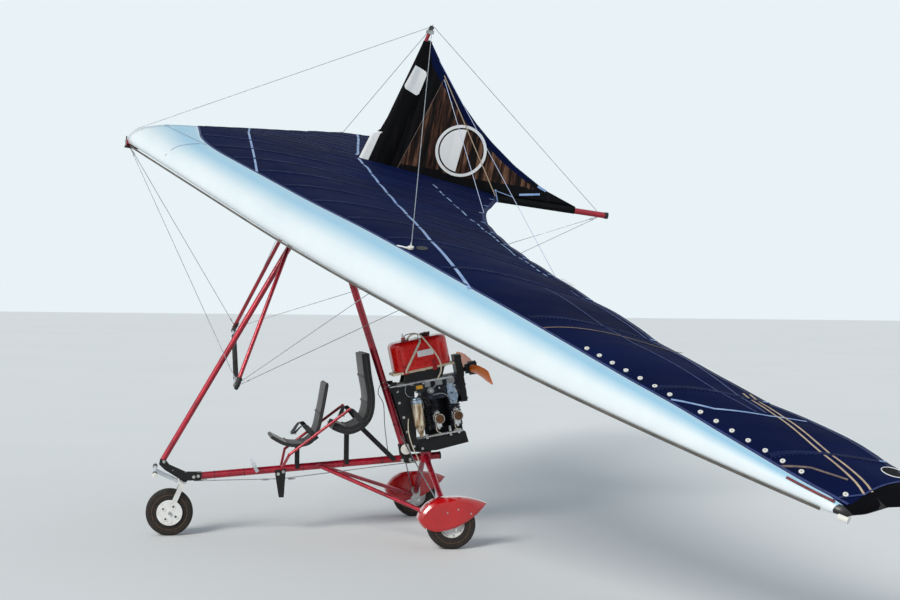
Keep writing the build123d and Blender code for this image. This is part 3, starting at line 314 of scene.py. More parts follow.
def cloth_materials(m, sail):
    """Sailcloth and tapes. Their patterns follow the cloth's own map, in metres out and aft."""
    # Woven polyester with a hard resin finish: crisp, faint ripstop squares and creases along the battens
    dark = tuple(0.55 * c for c in sail.navy[:3]) + (1,)
    m["navy"] = surface("navy polyester sailcloth",
                        [(0.25, dark), (0.6, sail.navy), (0.9, linear("#0e2052"))], 420, (0.7, 0.85),
                        ("weave", 9, 0.12), space="UV", stretch=(1, 0.45, 1), specular=0.06)
    # Metallised film on the front panel: pale sky blue, glossy with soft dents
    m["silver"] = surface("silver-blue film laminate",
                          [(0.2, "#eef4f7"), (0.55, "#f8fbfc"), (0.85, "#ffffff")], 600, (0.34, 0.5),
                          ("noise", 160, 1.6), space="UV", stretch=(1, 2.2, 1), coat=0.15, coat_rough=0.25)
    # Painted highlight: near white along the leading edge, sky blue behind it and paler again at the seam
    tree = m["silver"].node_tree
    shader = tree.nodes["Principled BSDF"]
    across = node(tree, "ShaderNodeAttribute", attribute_name="band").outputs["Fac"]
    shade = ramp(tree, across, [(0.0, "#eef4f7"), (0.22, "#e6f0f4"), (0.45, "#c6e0ed"), (0.7, sail.silver),
                                (0.94, "#a9d2e8"), (1.0, "#cfe6f1")])
    both = node(tree, "ShaderNodeMix", {0: 1.0},
                {6: shader.inputs["Base Color"].links[0].from_socket, 7: shade}, data_type="RGBA",
                blend_type="MULTIPLY")
    tree.links.new(both.outputs[2], shader.inputs["Base Color"])
    m["under"] = surface("undersurface sailcloth", [(0.3, "#0d1836"), (0.7, "#182a58")], 300, (0.5, 0.7),
                         ("weave", 9, 0.12), space="UV")
    # Painted shade: each cloth turns near black over its outer tip
    for key in ("navy", "silver", "under"):
        paint_tip_shade(m[key])
    m["black_cloth"] = surface("black polyester sailcloth",
                               [(0.35, "#030305"), (0.6, "#08080c"), (0.7, "#1d171b")], 70, (0.6, 0.8),
                               ("weave", 9, 0.12), space="UV", stretch=(1, 0.12, 1), specular=0.12)
    # Thin brown-black cloth of the fin's middle; its pale brown streaks are painted light, through the cloth and
    # along its pleats
    m["scrim"] = surface("thin brown-black sailcloth with painted light streaks",
                         [(0.4, "#080608"), (0.49, "#1d1210"), (0.56, "#4b3126"), (0.62, "#7a5a48"),
                          (0.69, "#1f1411")], 34, (0.6, 0.8), ("weave", 9, 0.12), space="UV",
                          stretch=(1, 0.07, 1), specular=0.15)
    m["tape"] = surface("pale blue sail tape", [(0.3, "#6f8fc6"), (0.7, "#a3bde0")], 60, (0.45, 0.65),
                        ("weave", 3, 0.1), space="UV")
    m["seam"] = surface("dark blue seam thread", [(0.3, "#0c1740"), (0.7, "#243a7a")], 30, (0.5, 0.7),
                        space="Object")
    m["thread_brown"] = surface("brown seam tape", [(0.3, "#4a3d3c"), (0.7, "#7d6d66")], 30, (0.5, 0.7),
                                ("weave", 3, 0.1), space="UV")
    m["beige"] = surface("beige sail tape", [(0.3, "#a8937c"), (0.7, "#d0bda4")], 40, (0.5, 0.7),
                         ("weave", 3, 0.1), space="UV")
    m["white_cloth"] = surface("white sail fabric", [(0.3, "#e6ebee"), (0.7, "#fbfcfd")], 80, (0.45, 0.6),
                               ("weave", 4, 0.1), space="UV")
    m["maroon"] = surface("maroon stripe", [(0.3, "#4d0f16"), (0.7, "#7a1a22")], 40, (0.5, 0.7),
                          ("weave", 3, 0.1), space="UV")
    m["pocket"] = surface("navy batten pocket cloth", [(0.3, "#070f2c"), (0.7, "#10204e")], 200, (0.6, 0.8),
                          ("weave", 5, 0.12), space="UV", specular=0.12)
    m["hem"] = surface("dark blue hem tape", [(0.3, "#0b1430"), (0.7, "#1c2c5c")], 120, (0.5, 0.7),
                       ("weave", 4, 0.1), space="UV", specular=0.25)
    # Grey-brown strip of painted shade under the leading edge
    m["edge_shade"] = surface("grey-brown painted edge shade", [(0.3, "#4b4844"), (0.7, "#77716a")], 90, (0.5, 0.7),
                             ("weave", 4, 0.1), space="UV")
    m["silver_seam"] = surface("pale seam tape", [(0.3, "#8ba6bd"), (0.7, "#b7ccda")], 60, (0.4, 0.6),
                               ("weave", 4, 0.1), space="UV")
    m["cord"] = surface("pale braided cord", [(0.3, "#9fb4dc"), (0.7, "#d5e0f4")], 12, (0.6, 0.8),
                        ("strand", 5, 0.4))


M = {}


# Mesh forms, each as (points, faces)
def rings(loops, closed=True, caps=False):
    """Faces between rows of points with the same count."""
    count = len(loops[0])
    points = [p for loop in loops for p in loop]
    faces = []
    for row in range(len(loops) - 1):
        for k in range(count if closed else count - 1):
            n = (k + 1) % count
            a = row * count
            faces.append((a + k, a + n, a + count + n, a + count + k))
    if caps:
        faces.append(tuple(reversed(range(count))))
        faces.append(tuple(range(len(points) - count, len(points))))
    return points, faces


def directions(path):
    """The way that a line runs at each of its points."""
    last = len(path) - 1
    return [(path[min(k + 1, last)] - path[max(k - 1, 0)]).normalized() for k in range(last + 1)]


def circle(centre, side, up, radius, count):
    """Points evenly round a centre, in the plane of two directions."""
    turns = [2 * pi * k / count for k in range(count)]
    return [centre + (side * cos(t) + up * sin(t)) * radius for t in turns]


def grid(rows, count):
    """Faces of a sheet that is made of rows with the same count of points."""
    starts = [row * count + k for row in range(rows - 1) for k in range(count - 1)]
    return [(a, a + count, a + count + 1, a + 1) for a in starts]


def sweep(path, radius, sides=12):
    """A round tube along points; radius is one number or one for each point."""
    path = [Vector(p) for p in path]
    sizes = radius if isinstance(radius, (list, tuple)) else [radius] * len(path)
    ways = directions(path)
    side = ways[0].orthogonal().normalized()
    loops = []
    for p, way, size in zip(path, ways, sizes):
        side = (side - way * side.dot(way)).normalized()
        loops.append(circle(p, side, way.cross(side), size, sides))
    return rings(loops, caps=True)


def turned(profile, start, way, sides=32):
    """A lathe form: profile is (distance along the axis, radius)."""
    start, way = Vector(start), Vector(way).normalized()
    side = way.orthogonal().normalized()
    loops = [circle(start + way * d, side, way.cross(side), max(r, 0.0002), sides) for d, r in profile]
    return rings(loops, caps=True)


def slab(outline, depth, place=Matrix.Identity(4)):
    """A plate from an outline in two directions, from depth[0] to depth[1] in the third."""
    loops = [[place @ Vector((a, d, b)) for a, b in outline] for d in depth]
    return rings(loops, caps=True)


def block(size, place):
    """A rectangular block about a place, or about the origin of a frame."""
    x, y, z = (c / 2 for c in size)
    about = place if isinstance(place, Matrix) else Matrix.Translation(place)
    return slab([(-x, -z), (x, -z), (x, z), (-x, z)], (-y, y), about)


def strap(path, ups, width, thick):
    """A flat band along points, with the direction that its face looks in at each."""
    path = [Vector(p) for p in path]
    loops = []
    for p, way, up in zip(path, directions(path), ups):
        up = Vector(up).normalized()
        side = way.cross(up).normalized() * (width / 2)
        lift = up * thick
        loops.append([p - side, p + side, p + side + lift, p - side + lift])
    return rings(loops, caps=True)


def build(name, forms, body, material, angle=35, bevel=0, place=None, closed=True):
    """A piece from forms, each with an own material name where it is not the piece's."""
    points, faces, picks, names = [], [], [], [material]
    for form in forms:
        own = form[2] if len(form) > 2 else material
        if own not in names:
            names.append(own)
        shift = len(points)
        points += [tuple(place @ Vector(p)) if place else tuple(p) for p in form[0]]
        faces += [tuple(shift + k for k in face) for face in form[1]]
        picks += [names.index(own)] * len(form[1])
    mesh = bpy.data.meshes.new(name)
    mesh.from_pydata(points, [], faces)
    mesh.polygons.foreach_set("material_index", picks)
    made = bpy.data.objects.new(name, mesh)
    bpy.context.scene.collection.objects.link(made)
    for key in names:
        mesh.materials.append(M[key])
    if closed:
        work = bmesh.new()
        work.from_mesh(mesh)
        bmesh.ops.recalc_face_normals(work, faces=work.faces)
        work.to_mesh(mesh)
        work.free()
    mesh.shade_smooth()
    mesh.set_sharp_from_angle(angle=radians(angle))
    if bevel:
        edge = made.modifiers.new("edges", "BEVEL")
        edge.width, edge.segments, edge.limit_method, edge.angle_limit = bevel, 2, "ANGLE", radians(40)
        edge.harden_normals = True
    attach(made, body)
    return made


def subdivide(obj, levels):
    """Smooths a piece by subdivision, the same in view and render."""
    finer = obj.modifiers.new("smooth", "SUBSURF")
    finer.levels = finer.render_levels = levels
    return obj


def plain_copy(obj, name, body):
    """Turns an object with live modifiers into a plain mesh piece that rides on a body."""
    graph = bpy.context.evaluated_depsgraph_get()
    mesh = bpy.data.meshes.new_from_object(obj.evaluated_get(graph), preserve_all_data_layers=True,
                                           depsgraph=graph)
    bpy.data.objects.remove(obj)
    made = bpy.data.objects.new(name, mesh)
    bpy.context.scene.collection.objects.link(made)
    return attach(made, body)


# Geometry Nodes: turned or prismatic pieces on points, and dashes along lines
def interface(tree, inputs):
    for name, kind, value in inputs:
        socket = tree.interface.new_socket(name, in_out="INPUT", socket_type=kind)
        if value is not None:
            socket.default_value = value
    tree.interface.new_socket("Geometry", in_out="OUTPUT", socket_type="NodeSocketGeometry")
    return tree.nodes.new("NodeGroupInput"), tree.nodes.new("NodeGroupOutput")


def finish_tree(tree, geometry, group_in, group_out):
    """Ends a tree in real geometry with one material."""
    real = node(tree, "GeometryNodeRealizeInstances", links={"Geometry": geometry})
    shown = node(tree, "GeometryNodeSetMaterial", links={"Geometry": real.outputs["Geometry"],
                                                         "Material": group_in.outputs["Material"]})
    tree.links.new(shown.outputs["Geometry"], group_out.inputs["Geometry"])


def fastener_tree():
    """A prism with a washer on each point, turned to the point's own direction."""
    tree = bpy.data.node_groups.new("Fasteners", "GeometryNodeTree")
    group_in, group_out = interface(tree, [
        ("Points", "NodeSocketGeometry", None), ("Radius", "NodeSocketFloat", 0.006),
        ("Height", "NodeSocketFloat", 0.005), ("Sides", "NodeSocketInt", 6),
        ("Washer", "NodeSocketFloat", 0.009), ("Seed", "NodeSocketInt", 7),
        ("Material", "NodeSocketMaterial", None)])
    out = group_in.outputs
    head = node(tree, "GeometryNodeMeshCylinder", links={"Vertices": out["Sides"], "Radius": out["Radius"],
                                                         "Depth": out["Height"]})
    thin = node(tree, "ShaderNodeMath", {1: 0.3}, {0: out["Height"]}, operation="MULTIPLY")
    washer = node(tree, "GeometryNodeMeshCylinder", {"Vertices": 14}, {"Radius": out["Washer"],
                                                                       "Depth": thin.outputs[0]})
    rise = node(tree, "ShaderNodeMath", {1: 0.5}, {0: out["Height"]}, operation="MULTIPLY")
    lift = node(tree, "ShaderNodeCombineXYZ", links={"Z": rise.outputs[0]})
    raised = node(tree, "GeometryNodeTransform", links={"Geometry": head.outputs["Mesh"],
                                                        "Translation": lift.outputs[0]})
    both = node(tree, "GeometryNodeJoinGeometry")
    for source in (raised.outputs["Geometry"], washer.outputs["Mesh"]):
        tree.links.new(source, both.inputs["Geometry"])
    facing = node(tree, "GeometryNodeInputNamedAttribute", {"Name": "facing"}, data_type="FLOAT_VECTOR")
    turn = node(tree, "FunctionNodeAlignRotationToVector", links={"Vector": facing.outputs["Attribute"]},
                axis="Z")
    spin = node(tree, "FunctionNodeRandomValue", {"Min": 0.0, "Max": 6.28}, {"Seed": out["Seed"]},
                data_type="FLOAT")
    placed = node(tree, "GeometryNodeInstanceOnPoints", links={
        "Points": out["Points"], "Instance": both.outputs["Geometry"], "Rotation": turn.outputs["Rotation"]})
    about = node(tree, "ShaderNodeCombineXYZ", links={"Z": spin.outputs["Value"]})
    turned_round = node(tree, "GeometryNodeRotateInstances", links={"Instances": placed.outputs["Instances"],
                                                                    "Rotation": about.outputs[0]})
    finish_tree(tree, turned_round.outputs["Instances"], group_in, group_out)
    return tree


def dash_tree():
    """A small block at even steps along lines, long way along them."""
    tree = bpy.data.node_groups.new("Stitches", "GeometryNodeTree")
    group_in, group_out = interface(tree, [
        ("Lines", "NodeSocketGeometry", None), ("Step", "NodeSocketFloat", 0.02),
        ("Length", "NodeSocketFloat", 0.01), ("Width", "NodeSocketFloat", 0.002),
        ("Height", "NodeSocketFloat", 0.001), ("Material", "NodeSocketMaterial", None)])
    out = group_in.outputs
    lines = node(tree, "GeometryNodeMeshToCurve", links={"Mesh": out["Lines"]})
    points = node(tree, "GeometryNodeCurveToPoints", links={"Curve": lines.outputs["Curve"],
                                                            "Length": out["Step"]}, mode="LENGTH")
    size = node(tree, "ShaderNodeCombineXYZ",
                links={"X": out["Length"], "Y": out["Width"], "Z": out["Height"]})
    dash = node(tree, "GeometryNodeMeshCube", links={"Size": size.outputs[0]})
    facing = node(tree, "GeometryNodeInputNamedAttribute", {"Name": "facing"}, data_type="FLOAT_VECTOR")
    along = node(tree, "FunctionNodeAlignRotationToVector", links={"Vector": points.outputs["Tangent"]},
                 axis="X")
    flat = node(tree, "FunctionNodeAlignRotationToVector",
                links={"Rotation": along.outputs["Rotation"], "Vector": facing.outputs["Attribute"]},
                axis="Z", pivot_axis="X")
    placed = node(tree, "GeometryNodeInstanceOnPoints",
                  links={"Points": points.outputs["Points"], "Instance": dash.outputs["Mesh"],
                         "Rotation": flat.outputs["Rotation"]})
    finish_tree(tree, placed.outputs["Instances"], group_in, group_out)
    return tree


TREES = {}


def grown(name, tree_key, spots, body, material, runs=None, **inputs):
    """A piece that a node tree makes from spots, each a place and a direction.

    runs are the counts of spots in each line."""
    if not TREES:
        TREES.update(fasteners=fastener_tree(), stitches=dash_tree())
    tree = TREES[tree_key]
    edges, first = [], 0
    for count in runs or ():
        edges += [(k, k + 1) for k in range(first, first + count - 1)]
        first += count
    mesh = bpy.data.meshes.new(name)
    mesh.from_pydata([tuple(place) for place, _ in spots], edges, [])
    facing = mesh.attributes.new("facing", "FLOAT_VECTOR", "POINT")
    facing.data.foreach_set("vector", [c for _, way in spots for c in Vector(way).normalized()])
    seedling = bpy.data.objects.new(name + "_points", mesh)
    bpy.context.scene.collection.objects.link(seedling)
    maker = seedling.modifiers.new("made", "NODES")
    maker.node_group = tree
    sockets = {s.name: s.identifier for s in tree.interface.items_tree if s.in_out == "INPUT"}
    for key, value in inputs.items():
        maker[sockets[key.capitalize()]] = value
    maker[sockets["Material"]] = M[material]
    return plain_copy(seedling, name, body)


# The sail as a surface, in the wing's own frame
def lead_x(y):
    return KEEL_NOSE - 0.5404 * y - 0.0558 * max(0, y - 1.5) ** 2


def lead_z(y):
    return -0.014 - 0.0917 * y + 0.0079 * max(0, y - 2.9) ** 2


def chord(y):
    return lead_x(y) + table_at(SAIL, y)


def billow(y, share):
    """The cloth's swell between battens, with small lasting creases."""
    k = sum(y >= b for b in BATTENS)
    low = BATTENS[k - 1] if k else 0
    high = BATTENS[k] if k < len(BATTENS) else HALF_SPAN
    gap = high - low
    swell = sin(pi * (y - low) / gap) * gap * 0.02 * smooth(0.22, 0.7, share)
    crease = noise.noise(Vector((y * 5.5, share * 1.6, 0.3))) * 0.004 * smooth(0.2, 0.4, share)
    return swell + crease


def top_z(y, share):
    """Height of the upper cloth at a share of the chord."""
    low, high = lead_z(y) + 0.02, table_at(SAIL, y, 3)
    z = low + (high - low) * share + 2.185 * table_at(SAIL, y, 2) * share ** 0.4 * (1 - share) ** 1.15
    z -= 0.03 * smooth(4.7, HALF_SPAN, y) ** 2 * smooth(0, 0.25, share)
    return z + billow(y, share)


def under_z(y, share):
    """Height of the lower cloth, which meets the upper one at UNDER_SHARE."""
    low = lead_z(y)
    meet = top_z(y, UNDER_SHARE) - 0.002
    if share < 0.05:
        z = low + 0.02 - 0.02 * sqrt(max(0, 1 - (1 - share / 0.05) ** 2))
    else:
        z = low + (meet - low) * ((share - 0.05) / (UNDER_SHARE - 0.05)) ** 1.5
    return max(z, 0.024) if y < 0.03 else z


def on_sail(x, y, lift=0.0):
    """A point over the upper cloth for a place in plan, with the cloth's direction there."""
    def height(px, py):
        far = min(abs(py), HALF_SPAN)
        share = min(1, max(0, (lead_x(far) - px) / chord(far)))
        return top_z(far, share)

    step = 0.01
    z = height(x, y)
    up = Vector((-(height(x + step, y) - z) / step, -(height(x, y + step) - z) / step, 1)).normalized()
    place = Vector((x, y, z)) + up * lift
    return WING @ place, (WING.to_3x3() @ up).normalized()


TIP_CAP_Y = 4.83
# Edge of the tip's painted shade, along the tip's seam
TIP_SHADE_EDGE = (4.84, 4.812, 0.45, 2.004)  # furthest out; at its rear end: distance out, slope, distance aft
EYELETS, EYELETS_MISSING = 17, (7, 15)
EYELET_ROW = (3.619, 0.0675, 0.0004)  # first one's distance out, spacing, growth of the spacing
SLEEVE_HALF = 0.0152


def give_wall(piece, thick=0.001, offset=0):
    """Gives a cloth its thickness."""
    wall = piece.modifiers.new("cloth", "SOLIDIFY")
    wall.thickness, wall.offset = thick, offset


def sewn(name, points, faces, chart, picks, *rests_on, slot=None, thick=0.001, offset=0, **marks):
    """A sheet of the wing, with its map, the material of each face and further values at its points."""
    mesh = bpy.data.meshes.new(name)
    mesh.from_pydata(points, [], faces)
    keys = sorted(set(picks))
    for key in keys:
        mesh.materials.append(M[key])
    mesh.polygons.foreach_set("material_index", [keys.index(pick) for pick in picks])
    for label, values in marks.items():
        mesh.attributes.new(label, "FLOAT", "POINT").data.foreach_set("value", values)
    layer = mesh.uv_layers.new(name="cloth")
    layer.data.foreach_set("uv", [c for loop in mesh.loops for c in chart[loop.vertex_index]])
    made = bpy.data.objects.new(name, mesh)
    bpy.context.scene.collection.objects.link(made)
    mesh.shade_smooth()
    give_wall(made, thick, offset)
    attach(made, "wing")
    return made


def past_tip_shade_edge(y, x, silver):
    """How far a place lies on the painted-shade side of the tip's seam, where the cloth is painted near black.
    The front panel ends at the tip cap.
    """
    furthest, rear_y, slope, rear_x = TIP_SHADE_EDGE
    return y - (TIP_CAP_Y if silver else min(furthest, rear_y + slope * (x + rear_x)))


def sail_cloth(name, side):
    """One half of the sail as a continuous sheet: under panel, round the leading edge, and aft to the hem."""
    even = [HALF_SPAN * k / 110 for k in range(111)]
    stations = sorted(set(round(y, 4) for y in even + [b + d for b in BATTENS for d in (-0.012, 0.012)]))
    silver_cells, navy_cells, under_cells = 12, 26, 9
    # The front panel is turned under the leading edge by two cells
    kinds = ["under"] * (under_cells - 2) + ["silver"] * (silver_cells + 2) + ["navy"] * navy_cells
    points, chart, bands, tips = [], [], [], []
    for y in stations:
        pinch = smooth(HALF_SPAN, HALF_SPAN - 0.07, y)
        edge = table_at(SILVER_EDGE, y) / chord(y)
        row = [(UNDER_SHARE * (1 - k / under_cells) ** 1.6, False) for k in range(under_cells)]
        row += [(edge * (k / silver_cells) ** 1.8, True) for k in range(silver_cells)]
        row += [(edge + (1 - edge) * (k / navy_cells), True) for k in range(navy_cells + 1)]
        for share, upper in row:
            x = lead_x(y) - chord(y) * share
            z = top_z(y, share) if upper else under_z(y, share)
            middle = (top_z(y, share) + (under_z(y, share) if share < UNDER_SHARE else top_z(y, share))) / 2
            points.append(wing(x, side * y, middle + (z - middle) * pinch))
            chart.append((y, (x if upper else 4 + x)))
            # Share across the silver panel, which places its painted highlight along the leading edge
            bands.append(min(1, share / edge) if upper else 0)
            # "tip" is above zero where the cloth is painted near black as shade
            tips.append(past_tip_shade_edge(y, x, share < edge))
    faces = [face if side > 0 else face[::-1] for face in grid(len(stations), len(kinds) + 1)]
    return sewn(name, points, faces, chart, kinds * (len(stations) - 1), "cross_tubes", "keel_tube",
                slot="navy_cloth", thick=0.0012, offset=-1, tip=tips, band=bands)


def band(points, width, lift=0.0015, thick=0.0012, step=0.035):
    """A tape on the sail through places in plan."""
    path, ups = [], []
    for (x0, y0), (x1, y1) in zip(points, points[1:]):
        count = max(2, round(hypot(x1 - x0, y1 - y0) / step))
        for k in range(count + 1 if (x1, y1) == points[-1] else count):
            t = k / count
            place, up = on_sail(x0 + (x1 - x0) * t, y0 + (y1 - y0) * t, lift)
            path.append(place)
            ups.append(up)
    return strap(path, ups, width, thick)


def mapped(piece):
    """Gives a piece a map of its places out and ahead, so that a cloth pattern lies on it."""
    mesh = piece.data
    spots = [mesh.vertices[loop.vertex_index].co for loop in mesh.loops]
    mesh.uv_layers.new(name="cloth").data.foreach_set("uv", [c for spot in spots for c in (spot.y, spot.x)])
    return piece


# Property groups
def colour_setting(name, description, code):
    """A colour that a user can change, from its sRGB hex code."""
    return FloatVectorProperty(name=name, description=description, subtype="COLOR", size=4,
                               default=linear(code), min=0, max=1)


class SailSettings(PropertyGroup):
    """Colours and sizes of the sail."""

    navy: colour_setting("Navy", "Main colour of the upper cloth", "#08143c")
    silver: colour_setting("Silver blue", "Colour of the leading edge panel", "#9fcde6")
    tape_width: FloatProperty(name="Tape width", description="Width of the pale tapes on the cloth",
                              subtype="DISTANCE", unit="LENGTH", default=0.022, min=0.005, max=0.1)
    eyelet_radius: FloatProperty(name="Eyelet radius",
                                 description="Radius of the white eyelets near the tips", subtype="DISTANCE",
                                 unit="LENGTH", default=0.012, min=0.003, max=0.03)


class TrikeSettings(PropertyGroup):
    """Colours and sizes of the trike."""

    tube_colour: colour_setting("Tubes", "Colour of the frame tubes", "#b8122f")
    tube_dark: colour_setting("Tubes, worn", "Colour of the tubes where they are handled", "#7d0a20")
    spat_colour: colour_setting("Spats", "Colour of the wheel spats", "#cc0a10")
    tank_colour: colour_setting("Tank", "Colour of the fuel tank", "#e81a12")


class StageSettings(PropertyGroup):
    """Camera and light."""

    lens: FloatProperty(name="Lens", description="Focal length on a 36 mm wide picture", unit="CAMERA",
                        default=62.33, min=10, max=300)
    sun: FloatProperty(name="Key light", description="Strength of the soft key light", unit="NONE",
                       default=2.1, min=0, max=20)
    fill: FloatProperty(name="Fill light", description="Strength of the light from all round", unit="NONE",
                        default=0.45, min=0, max=5)


class MICROLIGHT_OT_stage(Operator):
    """Makes the camera, the pale floor and backdrop, and the soft light"""

    bl_idname = "microlight.stage"
    bl_label = "Stage"

    def execute(self, context):
        settings = context.scene.microlight_stage
        self.camera(context, settings)
        self.light(context, settings)
        return {"FINISHED"}

    def camera(self, context, settings):
        """A level view from the port side, about ten degrees ahead of the beam."""
        data = bpy.data.cameras.new("camera")
        data.lens, data.sensor_width = settings.lens, 36
        data.clip_start, data.clip_end = 0.1, 300
        yaw, pitch, roll = radians(-100.402), radians(-0.114), radians(0.718)
        ahead = Vector((cos(yaw) * cos(pitch), sin(yaw) * cos(pitch), sin(pitch)))
        right = ahead.cross(Vector((0, 0, 1))).normalized()
        up = right.cross(ahead).normalized()
        right, up = right * cos(roll) + up * sin(roll), up * cos(roll) - right * sin(roll)
        camera = bpy.data.objects.new("camera", data)
        camera.matrix_world = Matrix((right, up, -ahead)).transposed().to_4x4()
        camera.location = (1.071, 10.723, -0.726)
        context.scene.collection.objects.link(camera)
        context.scene.camera = camera

    def light(self, context, settings):
        """A wide sun from ahead and to port, light from all round, and a pale floor."""
        context.scene.view_settings.view_transform = "Standard"
        data = bpy.data.lights.new("key", "SUN")
        data.energy, data.angle, data.color = settings.sun, radians(22), (1, 0.96, 0.9)
        key = bpy.data.objects.new("key", data)
        key.rotation_mode = "QUATERNION"
        key.rotation_quaternion = Vector((-0.62, -0.72, -0.62)).to_track_quat("-Z", "Y")
        context.scene.collection.objects.link(key)
        world = bpy.data.worlds.new("studio")
        world.use_nodes = True
        context.scene.world = world
        tree = world.node_tree
        around = tree.nodes["Background"]
        around.inputs["Color"].default_value = linear("#dfeaf6")
        around.inputs["Strength"].default_value = settings.fill
        seen = node(tree, "ShaderNodeBackground", {"Color": linear("#e9f3f7"), "Strength": 1.0})
        rays = node(tree, "ShaderNodeLightPath").outputs
        either = node(tree, "ShaderNodeMath", links={0: rays["Is Camera Ray"], 1: rays["Is Glossy Ray"]},
                      operation="MAXIMUM")
        any_ray = node(tree, "ShaderNodeMath", links={0: either.outputs[0], 1: rays["Is Transmission Ray"]},
                       operation="MAXIMUM")
        mix = node(tree, "ShaderNodeMixShader", links={0: any_ray.outputs[0], 1: around.outputs[0],
                                                       2: seen.outputs[0]})
        tree.links.new(mix.outputs[0], tree.nodes["World Output"].inputs["Surface"])
        mesh = bpy.data.meshes.new("floor")
        reach = 120
        mesh.from_pydata([(-reach, -reach, -HANG_Z), (reach, -reach, -HANG_Z), (reach, reach, -HANG_Z),
                          (-reach, reach, -HANG_Z)], [], [(0, 1, 2, 3)])
        # Painted studio floor, matt and even
        mesh.materials.append(surface("matt studio floor", [(0.3, "#f0f4f4"), (0.7, "#f4f7f7")], 4000,
                                      (0.8, 0.95)))
        floor = bpy.data.objects.new("floor", mesh)
        context.scene.collection.objects.link(floor)


CAD_FINISH = {
    "red_tube": ("base_tube", "mast", "front_strut", "rear_legs", "drag_struts", "leg_socket", "side_rails",
                 "keel_tube", "downtubes", "kingpost"),
    "black": ("mast_head", "nose_bracket", "mast_bracket", "engine_mount", "reduction_drive", "silencer",
              "seat_frame", "tank_stand", "skid_post", "propeller_hub", "apex_bracket", "nose_plate"),
    "alloy": ("engine_rails", "passenger_footrests", "foot_bar", "hang_block", "base_bar", "cross_tubes"),
    "engine": ("engine_block", "cylinder_heads"),
    "bright": ("carburettors",),
    "steel": ("stub_axles",),
    "wire": ("under_cable", "mast_braces", "lower_wires", "upper_wires"),
    "white": ("front_fork", "front_hub", "port_hub", "starboard_hub"),
    "nylon": ("tip_caps",),
    "rubber": ("keel_fittings",),
    "tyre": ("front_tyre", "port_tyre", "starboard_tyre"),
    "gelcoat": ("spats",),
    "enamel": ("fuel_tank",),
    "cream": ("tank_shelf",),
    "canvas": ("pilot_seat", "passenger_seat"),
    "gauze": ("air_filters",),
    # Heat tint with a painted highlight on the exhaust can
    "heat": ("exhaust_can",),
    "blade": ("propeller_blades",),
    "navy": ("port_sail", "starboard_sail"),
    "black_cloth": ("fin", "keel_pocket"),
}


class MICROLIGHT_OT_frame_finish(Operator):
    """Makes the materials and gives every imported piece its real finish"""

    bl_idname = "microlight.frame_finish"
    bl_label = "Finishes"

    def execute(self, context):
        M.update(make_materials(context.scene.microlight_sail, context.scene.microlight_trike))
        for key, names in CAD_FINISH.items():
            for name in names:
                slots = NODES[name].data.materials
                for k in range(max(1, len(slots))):
                    if k < len(slots):
                        slots[k] = M[key]
                    else:
                        slots.append(M[key])
        return {"FINISHED"}


class MICROLIGHT_OT_sails(Operator):
    """Makes both halves of the sail as stretched cloth"""

    bl_idname = "microlight.sails"
    bl_label = "Sails"

    def execute(self, context):
        for name, side in SIDES.items():
            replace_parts(sail_cloth(name + "_sail_cloth", side), name + "_sail")
        return {"FINISHED"}


def curved(points, cells=6):
    """Points on a smooth line through the given ones."""
    points = [Vector(p) for p in points]
    line = []
    for k in range(len(points) - 1):
        a, b = points[k], points[k + 1]
        before, after = points[max(k - 1, 0)], points[min(k + 2, len(points) - 1)]
        for n in range(cells):
            t = n / cells
            line.append(0.5 * (2 * a + (b - before) * t + (2 * before - 5 * a + 4 * b - after) * t * t
                               + (3 * a - before - 3 * b + after) * t ** 3))
    return line + [points[-1]]


def wing(x, y, z):
    """A point given in the wing's own frame."""
    return WING @ Vector((x, y, z))


def wing_way(x, y, z):
    """A direction given in the wing's own frame."""
    return WING.to_3x3() @ Vector((x, y, z))


def engine(fore, y, up):
    """A point given in the engine's own frame."""
    return ENGINE @ Vector((fore, y, up))


def tank(along, y, up):
    """A point given in the tank's own frame."""
    return TANK @ Vector((along, y, up))


def toward(centre, way):
    """A frame at a place whose Z looks in a direction."""
    return Matrix.Translation(Vector(centre)) @ Vector(way).to_track_quat("Z", "Y").to_matrix().to_4x4()


def ring_of(centre, way, radius, count, start=0.0):
    """Places evenly round a circle, each with the circle's own direction."""
    frame_at = toward(centre, way)
    turns = [start + 2 * pi * k / count for k in range(count)]
    return [(frame_at @ Vector((radius * cos(t), radius * sin(t), 0)), way) for t in turns]


def hoop(centre, way, radius, thick, cells=28, sides=8):
    """A closed ring of round bar."""
    frame_at = toward(centre, way)
    loops = []
    for k in range(cells + 1):
        turn = 2 * pi * k / cells
        out = Vector((cos(turn), sin(turn), 0))
        loops.append([frame_at @ (out * (radius + thick * cos(2 * pi * n / sides))
                                  + Vector((0, 0, thick * sin(2 * pi * n / sides)))) for n in range(sides)])
    points, faces = rings(loops[:-1])
    last = (cells - 1) * sides
    for n in range(sides):
        m = (n + 1) % sides
        faces.append((last + n, last + m, m, n))
    return points, faces


